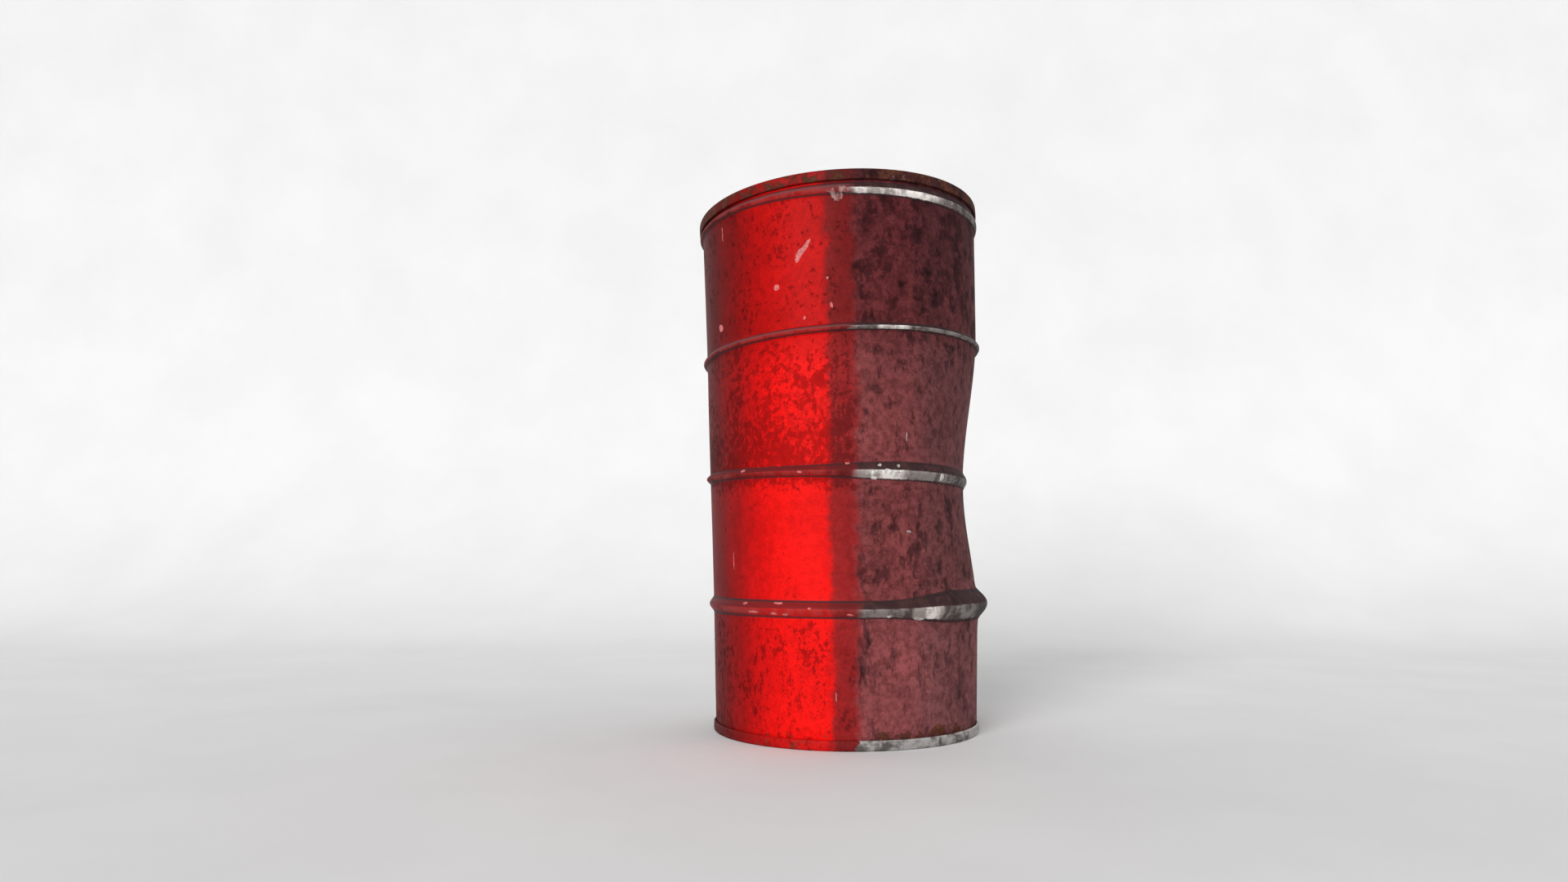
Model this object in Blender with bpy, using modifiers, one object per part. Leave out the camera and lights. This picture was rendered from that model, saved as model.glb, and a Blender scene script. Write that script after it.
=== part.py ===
"""A dented steel oil drum with closed heads, standing upright, in metres with +Z up.

The shell is one sheet with three rolled hoops, a shoulder bead and a hooked flange at each end. Each head is
a pressed disc whose rim folds round that flange as a double seam. The top head carries two bungs. The drum's
upper half leans to the left and back. Its right side is dented about the middle hoop, and spread at the lower.
"""

from math import atan2, cos, pi, radians, sin

import bmesh
import bpy
from mathutils import Matrix, Vector

# The drum as it left the press
HEIGHT = 0.880
BOTTOM_RADIUS = 0.2190
TOP_RADIUS = 0.2400
SHEET = 0.0012
AROUND = 36

# The folded seams at the two ends
SEAM_GAP = 0.0004
TOP_SEAM_HEIGHT = 0.018
BOTTOM_SEAM_HEIGHT = 0.016
FOLD_STEPS = 3

# The rolled hoops: height of the middle, height of the roll, and how far it stands out
LOWER_HOOP = {"middle": 0.209, "width": 0.030, "proud": 0.0075}
MIDDLE_HOOP = {"middle": 0.419, "width": 0.018, "proud": 0.0065}
UPPER_HOOP = {"middle": 0.630, "width": 0.017, "proud": 0.0065}
SHOULDER_WIDTH = 0.020
SHOULDER_PROUD = 0.0050
SHOULDER_DROP = 0.0015
BOTTOM_NECK = 0.0015
BOTTOM_NECK_WIDTH = 0.006
ROLL_STEPS = 6

# How many rows bend each band of wall between the rolls, from the top band to the bottom one
BAND_ROWS = (2, 4, 4, 2)

# The pressed heads
TOP_SINK = 0.024
BOTTOM_SINK = 0.020
CORNER = 0.005
STEP_INSET = 0.022
STEP_WIDTH = 0.006
STEP_RISE = 0.002

# The damage: how far the axis has moved and tilted at the two upper hoops, the shoulder and the rim
STRAIGHT = {"right": 0.0, "back": 0.0, "lean_left": 0.0, "lean_back": 0.0}
MIDDLE_BEND = {"right": -0.002, "back": 0.000, "lean_left": 0.0, "lean_back": 0.0}
UPPER_BEND = {"right": -0.004, "back": 0.005, "lean_left": radians(2.8), "lean_back": radians(2.7)}
SHOULDER_BEND = {"right": -0.008, "back": 0.013, "lean_left": radians(0.7), "lean_back": radians(2.0)}
RIM_BEND = {"right": -0.009, "back": 0.014, "lean_left": radians(2.9), "lean_back": radians(3.3)}

# The dent in the right side. Turns are from +X towards +Y.
DENT_DEPTH = 0.024
DENT_DROP = 0.005
DENT_TURN = radians(-8)
DENT_SPREAD = radians(68)
DENT_REACH = 0.240

# The two hoops that the dent has spread: how much taller, how far pushed out and how far lifted they are
LOWER_CRUSH = {"turn": radians(-10), "spread": radians(80), "stretch": 1.05, "push": 0.010, "lift": 0.003}
MIDDLE_CRUSH = {"turn": radians(-20), "spread": radians(115), "stretch": 1.0, "push": 0.0, "lift": 0.0}

# How sharply a spread hoop begins, and how far above and below it the wall follows, in hoop widths
CRUSH_EDGE = 1.6
STRETCH_REACH = 1.6
PUSH_REACH = 0.62

# The bungs. Each is laid out from the radius of its thread.
RUBBER = 0.0010
FIT_GAP = 0.0003
LARGE_BUNG = {
    "name": "large_bung",
    "thread": 0.0283,
    "neck_wall": 0.0032,
    "seat": 0.0052,
    "depth": 0.0150,
    "cap": 0.0030,
    "from_centre": 0.140,
    "turn": radians(-65),
    "around": 32,
}
SMALL_BUNG = {
    "name": "small_bung",
    "thread": 0.0129,
    "neck_wall": 0.0027,
    "seat": 0.0045,
    "depth": 0.0120,
    "cap": 0.0025,
    "from_centre": 0.160,
    "turn": radians(115),
    "around": 24,
}
THREAD_CLEARANCE = 0.0006
BOSS_HEIGHT = 0.0060
BOSS_SLOPE = 0.0060
NECK_ABOVE_BOSS = 0.0030
FLANGE_THICKNESS = 0.0025
PLUG_RUBBER = 0.0020
PLUG_WALL = 0.0045
PLUG_FLOOR = 0.0040
LUG_WIDTH = 0.0100
LUG_REACH = 0.0085
SQUARE_SOCKET = 0.0120

FOLD_PITCH = SHEET + SEAM_GAP
FULL_TURN = 2 * pi


def clear_scene():
    for item in list(bpy.data.objects):
        bpy.data.objects.remove(item, do_unlink=True)


def new_collection(name):
    collection = bpy.data.collections.new(name)
    bpy.context.scene.collection.children.link(collection)
    return collection


def finish(name, colour, roughness, metallic):
    material = bpy.data.materials.new(name)
    material.use_nodes = True
    shader = material.node_tree.nodes["Principled BSDF"]
    shader.inputs["Base Color"].default_value = (*colour, 1.0)
    shader.inputs["Roughness"].default_value = roughness
    shader.inputs["Metallic"].default_value = metallic
    return material


def evaluated_mesh(item):
    graph = bpy.context.evaluated_depsgraph_get()
    return bpy.data.meshes.new_from_object(item.evaluated_get(graph), depsgraph=graph)


def point_out(mesh):
    shape = bmesh.new()
    shape.from_mesh(mesh)
    bmesh.ops.recalc_face_normals(shape, faces=shape.faces)
    shape.to_mesh(mesh)
    shape.free()


def turned(name, profile, around, closed=False):
    """A mesh turned round Z from a profile of (radius, height) points."""
    line = bpy.data.meshes.new(name)
    edges = [(k, k + 1) for k in range(len(profile) - 1)]
    if closed:
        edges.append((len(profile) - 1, 0))
    line.from_pydata([(r, 0.0, z) for r, z in profile], edges, [])
    item = bpy.data.objects.new(name, line)
    bpy.context.scene.collection.objects.link(item)
    turn = item.modifiers.new("Turn", "SCREW")
    turn.steps = around
    turn.render_steps = around
    turn.use_merge_vertices = True
    turn.merge_threshold = 0.0001
    mesh = evaluated_mesh(item)
    bpy.data.objects.remove(item, do_unlink=True)
    mesh.name = name
    point_out(mesh)
    return mesh


def piece(name, mesh, material, collection, parent):
    item = bpy.data.objects.new(name, mesh)
    mesh.materials.clear()
    mesh.materials.append(material)
    mesh.shade_smooth()
    mesh.set_sharp_from_angle(angle=radians(35))
    collection.objects.link(item)
    item.parent = parent
    return item


def thicken(item):
    wall = item.modifiers.new("Sheet", "SOLIDIFY")
    wall.thickness = SHEET
    wall.offset = 0.0
    wall.use_even_offset = True


def cut(item, tool, operation="DIFFERENCE"):
    change = item.modifiers.new(tool.name, "BOOLEAN")
    change.operation = operation
    change.object = tool
    change.solver = "EXACT"


def guide(name, mesh, collection, parent):
    item = bpy.data.objects.new(name, mesh)
    item.hide_render = True
    item.display_type = "WIRE"
    collection.objects.link(item)
    item.parent = parent
    return item


def box_mesh(name, low, high):
    shape = bmesh.new()
    bmesh.ops.create_cube(shape, size=1.0)
    size = Vector(high) - Vector(low)
    middle = (Vector(high) + Vector(low)) / 2
    bmesh.ops.scale(shape, vec=size, verts=shape.verts)
    bmesh.ops.translate(shape, vec=middle, verts=shape.verts)
    mesh = bpy.data.meshes.new(name)
    shape.to_mesh(mesh)
    shape.free()
    return mesh


def fold(radius, height, size, start, end, up):
    """Points round a folded edge, from one angle to another about its centre."""
    points = []
    for k in range(FOLD_STEPS + 1):
        angle = start + (end - start) * k / FOLD_STEPS
        points.append((radius + size * cos(angle), height + up * size * sin(angle)))
    return points


def seam(wall_radius, rim, height, up):
    """Radii and heights shared by the two sheets of a double seam. up is 1 at the top, -1 at the bottom."""
    return {
        "wall": wall_radius,
        "inner_hook": wall_radius + FOLD_PITCH,
        "outer_hook": wall_radius + 2 * FOLD_PITCH,
        "rim_centre": rim - up * (SHEET / 2 + 2 * FOLD_PITCH * cos(pi / 2 / FOLD_STEPS)),
        "hook_centre": rim - up * (height - SHEET / 2 - FOLD_PITCH * cos(pi / 2 / FOLD_STEPS)),
        "rim": rim,
        "up": up,
    }


TOP_SEAM = seam(TOP_RADIUS - SHEET / 2, HEIGHT, TOP_SEAM_HEIGHT, 1)
BOTTOM_SEAM = seam(BOTTOM_RADIUS - BOTTOM_NECK - SHEET / 2, 0.0, BOTTOM_SEAM_HEIGHT, -1)


def shell_hook(s):
    """The shell's flange, from its free edge to its wall."""
    edge = [(s["outer_hook"], s["hook_centre"])]
    return edge + fold(s["inner_hook"], s["rim_centre"], FOLD_PITCH, 0.0, pi, s["up"])


def head_hook(s):
    """The head's rim, from its free edge, round the shell's flange, to the top of its inner wall."""
    edge = [(s["inner_hook"], s["rim_centre"])]
    under = fold(s["outer_hook"], s["hook_centre"], FOLD_PITCH, pi, FULL_TURN, s["up"])
    over = fold(s["inner_hook"], s["rim_centre"], 2 * FOLD_PITCH, 0.0, pi, s["up"])
    return edge + under + over


def wall_radius(height):
    """The shell's middle radius at a height: the drum widens evenly from its bottom to its top."""
    low = BOTTOM_SEAM_HEIGHT + BOTTOM_NECK_WIDTH
    high = HEIGHT - TOP_SEAM_HEIGHT
    share = min(max((height - low) / (high - low), 0.0), 1.0)
    return BOTTOM_RADIUS + (TOP_RADIUS - BOTTOM_RADIUS) * share - SHEET / 2


def roll(middle, width, proud):
    """A rolled ring in the wall, from its top to its bottom."""
    points = []
    for k in range(ROLL_STEPS + 1):
        share = k / ROLL_STEPS
        height = middle + width * (0.5 - share)
        points.append((wall_radius(height) + proud * (1 - cos(FULL_TURN * share)) / 2, height))
    return points


def band(high, low, rows):
    """Rows of points between two rolls, so that the wall can bend."""
    heights = [high + (low - high) * k / (rows + 1) for k in range(1, rows + 1)]
    return [(wall_radius(height), height) for height in heights]


def shell_profile():
    shoulder = HEIGHT - TOP_SEAM_HEIGHT - SHOULDER_DROP - SHOULDER_WIDTH / 2
    rolls = [roll(shoulder, SHOULDER_WIDTH, SHOULDER_PROUD)]
    rolls += [roll(**hoop) for hoop in (UPPER_HOOP, MIDDLE_HOOP, LOWER_HOOP)]
    neck_top = BOTTOM_SEAM_HEIGHT + BOTTOM_NECK_WIDTH
    points = shell_hook(TOP_SEAM)
    lows = [ring[0][1] for ring in rolls[1:]] + [neck_top]
    for ring, low, rows in zip(rolls, lows, BAND_ROWS):
        points += ring
        points += band(ring[-1][1], low, rows)
    points.append((wall_radius(neck_top), neck_top))
    points.append((BOTTOM_SEAM["wall"], BOTTOM_SEAM_HEIGHT + SHOULDER_DROP))
    return points + shell_hook(BOTTOM_SEAM)[::-1]


def head_profile(s, sink):
    """From the folded rim down the inner wall, round the corner and over the step to the middle."""
    up = s["up"]
    panel = s["rim"] - up * sink
    inner = s["inner_hook"] - 2 * FOLD_PITCH
    step = inner - STEP_INSET
    return head_hook(s) + [
        (inner, panel + up * CORNER),
        (inner - CORNER * (1 - cos(pi / 4)), panel + up * CORNER * (1 - sin(pi / 4))),
        (inner - CORNER, panel),
        (step, panel),
        (step - STEP_WIDTH, panel + up * STEP_RISE),
        (0.0, panel + up * STEP_RISE),
    ]


def window(distance):
    """1 in the middle, falling smoothly to 0 at a distance of 1."""
    if abs(distance) >= 1:
        return 0.0
    return cos(pi / 2 * distance) ** 2


def ease(share):
    share = min(max(share, 0.0), 1.0)
    return share * share * (3 - 2 * share)


def turn_apart(angle, middle):
    return (angle - middle + pi) % FULL_TURN - pi


def leaning(left, back):
    return Matrix.Rotation(-left, 3, "Y") @ Matrix.Rotation(-back, 3, "X")


def bends():
    """The heights at which the axis has a known shift and lean, from the bottom to the rigid rim."""
    rim = HEIGHT - TOP_SEAM_HEIGHT - SHOULDER_DROP
    return [
        (LOWER_HOOP["middle"], STRAIGHT),
        (MIDDLE_HOOP["middle"], MIDDLE_BEND),
        (UPPER_HOOP["middle"], UPPER_BEND),
        (rim - SHOULDER_WIDTH, SHOULDER_BEND),
        (rim, RIM_BEND),
    ]


def rim_frame():
    """The rigid move of the folded rim and of all that the top head carries."""
    height, bend = bends()[-1]
    place = Matrix.Translation((bend["right"], bend["back"], height))
    turn = leaning(bend["lean_left"], bend["lean_back"]).to_4x4()
    return place @ turn @ Matrix.Translation((0.0, 0.0, -height))


def bent(flat, height):
    """Where a point at a height goes as the axis shifts and leans between two known heights."""
    known = bends()
    if height <= known[0][0]:
        return flat + Vector((0.0, 0.0, height))
    if height >= known[-1][0]:
        return rim_frame() @ (flat + Vector((0.0, 0.0, height)))
    low, high = next(pair for pair in zip(known, known[1:]) if height <= pair[1][0])
    share = (height - low[0]) / (high[0] - low[0])
    below, above = low[1], high[1]
    mixed = {}
    for key in ("right", "back"):
        mixed[key] = below[key] + (above[key] - below[key]) * share
    for key in ("lean_left", "lean_back"):
        mixed[key] = below[key] + (above[key] - below[key]) * ease(share)
    shift = Vector((mixed["right"], mixed["back"], height))
    return shift + leaning(mixed["lean_left"], mixed["lean_back"]) @ flat


def crushed(point):
    """Where a point of the straight shell lies on the damaged one."""
    radius = Vector((point.x, point.y)).length
    angle = atan2(point.y, point.x)
    height = point.z
    for hoop, crush in ((LOWER_HOOP, LOWER_CRUSH), (MIDDLE_HOOP, MIDDLE_CRUSH)):
        off = point.z - hoop["middle"]
        amount = ease(CRUSH_EDGE * window(turn_apart(angle, crush["turn"]) / crush["spread"]))
        near = amount * window(off / (STRETCH_REACH * hoop["width"]))
        height += near * (off * crush["stretch"] + crush["lift"])
        radius += amount * crush["push"] * window(off / (PUSH_REACH * hoop["width"]))
    round_the_dent = window(turn_apart(angle, DENT_TURN) / DENT_SPREAD)
    dent = round_the_dent * window((height - MIDDLE_HOOP["middle"]) / DENT_REACH)
    radius -= DENT_DEPTH * dent
    height -= DENT_DROP * dent
    return bent(Vector((radius * cos(angle), radius * sin(angle), 0.0)), height)


def build_shell(parts, base, paint):
    mesh = turned("drum_shell", shell_profile(), AROUND)
    for vertex in mesh.vertices:
        vertex.co = crushed(vertex.co)
    thicken(piece("drum_shell", mesh, paint, parts, base))


def build_bottom(parts, base, paint):
    mesh = turned("bottom_head", head_profile(BOTTOM_SEAM, BOTTOM_SINK), AROUND)
    thicken(piece("bottom_head", mesh, paint, parts, base))


def bung_radii(bung):
    bore = bung["thread"] + THREAD_CLEARANCE
    neck = bore + bung["neck_wall"]
    hole = neck + FIT_GAP
    seat = hole + bung["seat"]
    return bore, neck, hole, seat


def build_top(parts, cutters, rim, paint):
    """The top head, with a raised boss pressed round each bung's hole."""
    mesh = turned("top_head", head_profile(TOP_SEAM, TOP_SINK), AROUND)
    head = piece("top_head", mesh, paint, parts, rim)
    thicken(head)
    panel = HEIGHT - TOP_SINK + STEP_RISE
    for bung in (LARGE_BUNG, SMALL_BUNG):
        hole, seat = bung_radii(bung)[2:]
        place = Matrix.Rotation(bung["turn"], 4, "Z") @ Matrix.Translation((bung["from_centre"], 0.0, panel))
        opening = seat + BOSS_SLOPE / 2
        high, low = BOSS_HEIGHT / 3, -BOSS_HEIGHT
        drill = [(0.0, high), (opening, high), (opening, low), (0.0, low)]
        mesh = turned(bung["name"] + "_opening", drill, bung["around"])
        mesh.transform(place)
        cut(head, guide(bung["name"] + "_opening", mesh, cutters, rim))
        rise = [(hole, BOSS_HEIGHT), (seat, BOSS_HEIGHT), (seat + BOSS_SLOPE, -SHEET / 3)]
        mesh = turned(bung["name"] + "_boss", rise, bung["around"])
        mesh.transform(place)
        boss = guide(bung["name"] + "_boss", mesh, cutters, rim)
        thicken(boss)
        cut(head, boss, "UNION")


def build_bung(bung, parts, cutters, rim_place, zinc, rubber):
    """A threaded neck held in its boss, its two rubber rings and its plug."""
    bore, neck, hole, seat = bung_radii(bung)
    around = bung["around"]
    name = bung["name"]
    place = Matrix.Rotation(bung["turn"], 4, "Z") @ Matrix.Translation(
        (bung["from_centre"], 0.0, HEIGHT - TOP_SINK + STEP_RISE)
    )
    axis = bpy.data.objects.new(name + "_axis", None)
    parts.objects.link(axis)
    axis.parent = rim_place
    axis.matrix_local = place
    rim = BOSS_HEIGHT + SHEET / 2 + NECK_ABOVE_BOSS
    under = BOSS_HEIGHT - SHEET / 2 - FIT_GAP
    ring = seat - SHEET / 2
    flange_top = under - RUBBER - FIT_GAP
    flange_low = flange_top - FLANGE_THICKNESS
    flange = [
        (bore, rim),
        (neck, rim),
        (neck, flange_top),
        (ring, flange_top),
        (ring, flange_low),
        (bore, flange_low),
    ]
    piece(name + "_flange", turned(name + "_flange", flange, around, True), zinc, parts, axis)
    seal = [(neck + FIT_GAP, under), (ring, under), (ring, under - RUBBER), (neck + FIT_GAP, under - RUBBER)]
    piece(name + "_flange_gasket", turned(name + "_flange_gasket", seal, around, True), rubber, parts, axis)
    washer_low = rim + FIT_GAP
    washer_top = washer_low + PLUG_RUBBER
    inner = bore - FIT_GAP / 2
    washer = [(inner, washer_top), (neck, washer_top), (neck, washer_low), (inner, washer_low)]
    piece(name + "_plug_gasket", turned(name + "_plug_gasket", washer, around, True), rubber, parts, axis)
    build_plug(bung, parts, cutters, axis, washer_top + FIT_GAP, neck, zinc)


def build_plug(bung, parts, cutters, axis, seat_height, neck, zinc):
    """The screw plug: a cup with a flat cap, and two lugs or a square socket for the wrench."""
    name = bung["name"] + "_plug"
    thread = bung["thread"]
    top = seat_height + bung["cap"]
    low = seat_height - bung["depth"]
    profile = [(0.0, top), (neck, top), (neck, seat_height), (thread, seat_height), (thread, low), (0.0, low)]
    mesh = turned(name, profile, bung["around"])
    plug = piece(name, mesh, zinc, parts, axis)
    cup = thread - PLUG_WALL
    floor = low + PLUG_FLOOR
    if bung is LARGE_BUNG:
        hollow = [(0.0, top + PLUG_FLOOR), (cup, top + PLUG_FLOOR), (cup, floor), (0.0, floor)]
        cut(plug, guide(name + "_hollow", turned(name + "_hollow", hollow, bung["around"]), cutters, axis))
        for side in (-1, 1):
            ends = sorted((side * (cup + PLUG_WALL / 2), side * (cup - LUG_REACH)))
            low_corner = (ends[0], -LUG_WIDTH / 2, low + PLUG_FLOOR / 2)
            high_corner = (ends[1], LUG_WIDTH / 2, top - bung["cap"] / 2)
            lug_name = name + ("_left_lug" if side < 0 else "_right_lug")
            cut(plug, guide(lug_name, box_mesh(lug_name, low_corner, high_corner), cutters, axis), "UNION")
    else:
        half = SQUARE_SOCKET / 2
        socket = box_mesh(name + "_socket", (-half, -half, floor), (half, half, top + PLUG_FLOOR))
        cut(plug, guide(name + "_socket", socket, cutters, axis))


def centre_on_origin(parts, base):
    """Moves the drum so that the middle of its outer box stands on the origin."""
    bpy.context.view_layer.update()
    graph = bpy.context.evaluated_depsgraph_get()
    corners = []
    for item in parts.objects:
        if item.type == "MESH":
            shape = item.evaluated_get(graph)
            corners += [shape.matrix_world @ vertex.co for vertex in shape.data.vertices]
    for k in range(2):
        values = [corner[k] for corner in corners]
        base.location[k] -= (min(values) + max(values)) / 2


def main():
    clear_scene()
    parts = new_collection("oil_drum")
    cutters = new_collection("cutters")
    paint = finish("worn red paint", (0.42, 0.030, 0.030), 0.55, 0.2)
    zinc = finish("dull zinc", (0.36, 0.35, 0.33), 0.5, 0.9)
    rubber = finish("black rubber", (0.03, 0.03, 0.03), 0.8, 0.0)
    base = bpy.data.objects.new("drum_base", None)
    parts.objects.link(base)
    rim = bpy.data.objects.new("rim_frame", None)
    parts.objects.link(rim)
    rim.parent = base
    rim.matrix_local = rim_frame()
    build_shell(parts, base, paint)
    build_bottom(parts, base, paint)
    build_top(parts, cutters, rim, paint)
    for bung in (LARGE_BUNG, SMALL_BUNG):
        build_bung(bung, parts, cutters, rim, zinc, rubber)
    centre_on_origin(parts, base)


main()
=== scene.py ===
from math import atan2, cos, pi, radians, sin

import bmesh
import bpy
from mathutils import Euler, Matrix, Vector, noise


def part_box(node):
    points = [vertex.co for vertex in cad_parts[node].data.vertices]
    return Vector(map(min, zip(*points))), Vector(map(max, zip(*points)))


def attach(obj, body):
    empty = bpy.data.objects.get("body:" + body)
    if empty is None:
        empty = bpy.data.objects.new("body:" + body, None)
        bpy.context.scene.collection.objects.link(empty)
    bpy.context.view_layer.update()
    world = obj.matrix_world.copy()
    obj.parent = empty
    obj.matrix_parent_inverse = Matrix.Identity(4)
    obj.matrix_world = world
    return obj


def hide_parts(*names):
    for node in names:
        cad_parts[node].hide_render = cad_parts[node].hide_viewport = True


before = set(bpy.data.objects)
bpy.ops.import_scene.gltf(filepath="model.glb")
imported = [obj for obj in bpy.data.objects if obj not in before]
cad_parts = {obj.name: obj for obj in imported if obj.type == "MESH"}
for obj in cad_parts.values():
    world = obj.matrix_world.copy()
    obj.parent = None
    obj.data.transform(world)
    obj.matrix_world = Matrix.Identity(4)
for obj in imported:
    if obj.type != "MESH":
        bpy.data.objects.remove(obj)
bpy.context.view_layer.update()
print("frame loaded")

# Sizes of the straight drum, as in the part
drum = {
    "height": 0.880,
    "bottomRadius": 0.2190,
    "topRadius": 0.2400,
    "sheet": 0.0012,
    "pitch": 0.0016,  # sheet and gap in the folded seams
    "topSeam": 0.018,
    "bottomSeam": 0.016,
    "neck": 0.0015,
    "neckWidth": 0.006,
    "middleRadius": 0.23,  # turns degrees round the drum into metres
    "around": 192,
    "foldSteps": 9,
    "rollSteps": 18,
    "rowPitch": 0.012,
    "waviness": 0.0006,  # how uneven the sheet is between the hoops
    "unevenGrain": (9, 9, 5),
    "unevenFrom": 0.03,
    "unevenTo": 0.835,
    "unevenFade": 0.03,
    "weldRise": 0.0005,  # the welded seam up the back, rolled flat on the hoops
    "weldWidth": radians(1.9),
    "weldFrom": 0.03,
    "weldTo": 0.845,
    "weldFade": 0.01,
}
shoulder = {"middle": 0.8505, "width": 0.020, "proud": 0.0050, "wornEdge": 2.2}
upperHoop = {"middle": 0.630, "width": 0.017, "proud": 0.0065, "wornEdge": 3.0}
middleHoop = {"middle": 0.419, "width": 0.018, "proud": 0.0065, "wornEdge": 1.0}
lowerHoop = {"middle": 0.209, "width": 0.030, "proud": 0.0075, "wornEdge": 1.0}

# The damage: shift and lean of the axis at each height, the dent and the hoops that it has spread
stations = [
    {"height": 0.209, "right": 0.0, "back": 0.0, "left": 0.0, "rear": 0.0},
    {"height": 0.419, "right": -0.002, "back": 0.0, "left": 0.0, "rear": 0.0},
    {"height": 0.630, "right": -0.004, "back": 0.005, "left": 2.8, "rear": 2.7},
    {"height": 0.8405, "right": -0.008, "back": 0.013, "left": 0.7, "rear": 2.0},
    {"height": 0.8605, "right": -0.009, "back": 0.014, "left": 2.9, "rear": 3.3},
]
dent = {"depth": 0.024, "drop": 0.005, "turn": radians(-8), "spread": radians(68), "reach": 0.240}
crushes = [
    {
        "hoop": lowerHoop, "turn": radians(-10), "spread": radians(80),
        "stretch": 1.05, "push": 0.010, "lift": 0.003,
    },
    {
        "hoop": middleHoop, "turn": radians(-20), "spread": radians(115),
        "stretch": 1.00, "push": 0.0, "lift": 0.0,
    },
]
crushShape = {"fullness": 1.6, "reach": 1.6, "pushReach": 0.62}  # reaches in widths of the hoop
meshing = {"merge": 0.00002, "fineMerge": 0.00001, "sharpFrom": radians(40)}

headSizes = {
    "topSink": 0.024, "bottomSink": 0.020, "corner": 0.005, "stepInset": 0.022, "stepWidth": 0.006,
    "stepRise": 0.002, "rimWear": 0.006, "rimDepth": 0.022, "panelRings": (0.16, 0.11, 0.06, 0.02, 0.0),
    "wallSteps": 4, "cornerSteps": 6, "ledgeSteps": 3, "riseSteps": 8,
}
largeBung = {
    "name": "large", "thread": 0.0283, "neckWall": 0.0032, "seat": 0.0052, "depth": 0.0150, "cap": 0.0030,
    "fromCentre": 0.140, "turn": radians(-65), "around": 96, "screwPitch": 0.002309,
}
smallBung = {
    "name": "small", "thread": 0.0129, "neckWall": 0.0027, "seat": 0.0045, "depth": 0.0120, "cap": 0.0025,
    "fromCentre": 0.160, "turn": radians(115), "around": 64, "screwPitch": 0.001814,
}
bungFit = {
    "clearance": 0.0006, "gap": 0.0003, "bossHeight": 0.0060, "bossSlope": 0.0060, "aboveBoss": 0.0030,
    "flange": 0.0025, "rubber": 0.0010, "washer": 0.0020, "wall": 0.0045, "floor": 0.0040,
    "lugWidth": 0.0100, "lugReach": 0.0085, "socket": 0.0120, "bossInset": 0.001, "bossSteps": 10,
    "ridgeHalf": 0.36, "ridgeFlat": 0.15, "root": 0.0010, "core": 0.0011, "sink": 0.0001,
    "neckEdge": 0.0004, "washerEdge": 0.0008, "plugEdge": 0.0006, "lugEdge": 0.0008, "socketEdge": 0.0012,
    "socketCut": 0.02,
}

footLow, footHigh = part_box("bottom_head")
baseShift = Vector(((footLow.x + footHigh.x) / 2, (footLow.y + footHigh.y) / 2, 0.0))


# Shape of the straight drum and of its damage
def window(distance):
    return cos(pi / 2 * distance) ** 2 if abs(distance) < 1 else 0.0


def ease(share):
    share = min(max(share, 0.0), 1.0)
    return share * share * (3 - 2 * share)


def turnApart(angle, middle):
    return (angle - middle + pi) % (2 * pi) - pi


def wallRadius(height):
    low = drum["bottomSeam"] + drum["neckWidth"]
    high = drum["height"] - drum["topSeam"]
    share = min(max((height - low) / (high - low), 0.0), 1.0)
    return drum["bottomRadius"] + (drum["topRadius"] - drum["bottomRadius"]) * share - drum["sheet"] / 2


def standOut(ring, height):
    off = (height - ring["middle"]) / ring["width"]
    return (1 + cos(2 * pi * off)) / 2 if abs(off) < 0.5 else 0.0


def leaning(left, rear):
    return Matrix.Rotation(radians(-left), 3, "Y") @ Matrix.Rotation(radians(-rear), 3, "X")


def rimFrame():
    top = stations[-1]
    place = Matrix.Translation((top["right"], top["back"], top["height"]))
    return place @ leaning(top["left"], top["rear"]).to_4x4() @ Matrix.Translation((0, 0, -top["height"]))


def bent(flat, height):
    if height <= stations[0]["height"]:
        return flat + Vector((0, 0, height))
    if height >= stations[-1]["height"]:
        return rimFrame() @ (flat + Vector((0, 0, height)))
    low, high = next(pair for pair in zip(stations, stations[1:]) if height <= pair[1]["height"])
    share = (height - low["height"]) / (high["height"] - low["height"])
    right, back = (low[key] + (high[key] - low[key]) * share for key in ("right", "back"))
    left, rear = (low[key] + (high[key] - low[key]) * ease(share) for key in ("left", "rear"))
    return Vector((right, back, height)) + leaning(left, rear) @ flat


def damaged(point):
    radius, angle, height = point.xy.length, atan2(point.y, point.x), point.z
    betweenHoops = 1 - max(standOut(ring, height) for ring in (shoulder, upperHoop, middleHoop, lowerHoop))
    onWeld = window(turnApart(angle, pi / 2) / drum["weldWidth"])
    belowTop = ease((drum["weldTo"] - height) / drum["weldFade"])
    aboveFoot = ease((height - drum["weldFrom"]) / drum["weldFade"])
    radius += drum["weldRise"] * betweenHoops * onWeld * belowTop * aboveFoot
    for crush in crushes:
        hoop = crush["hoop"]
        off = point.z - hoop["middle"]
        amount = ease(crushShape["fullness"] * window(turnApart(angle, crush["turn"]) / crush["spread"]))
        near = amount * window(off / (crushShape["reach"] * hoop["width"]))
        height += near * (off * crush["stretch"] + crush["lift"])
        radius += amount * crush["push"] * window(off / (crushShape["pushReach"] * hoop["width"]))
    hit = window(turnApart(angle, dent["turn"]) / dent["spread"])
    hit *= window((height - middleHoop["middle"]) / dent["reach"])
    radius -= dent["depth"] * hit
    height -= dent["drop"] * hit
    inBand = ease((point.z - drum["unevenFrom"]) / drum["unevenFade"])
    inBand *= ease((drum["unevenTo"] - point.z) / drum["unevenFade"])
    spot = Vector(length * grain for length, grain in zip(point, drum["unevenGrain"]))
    radius += drum["waviness"] * inBand * noise.noise(spot)
    return bent(Vector((radius * cos(angle), radius * sin(angle), 0)), height)


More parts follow.
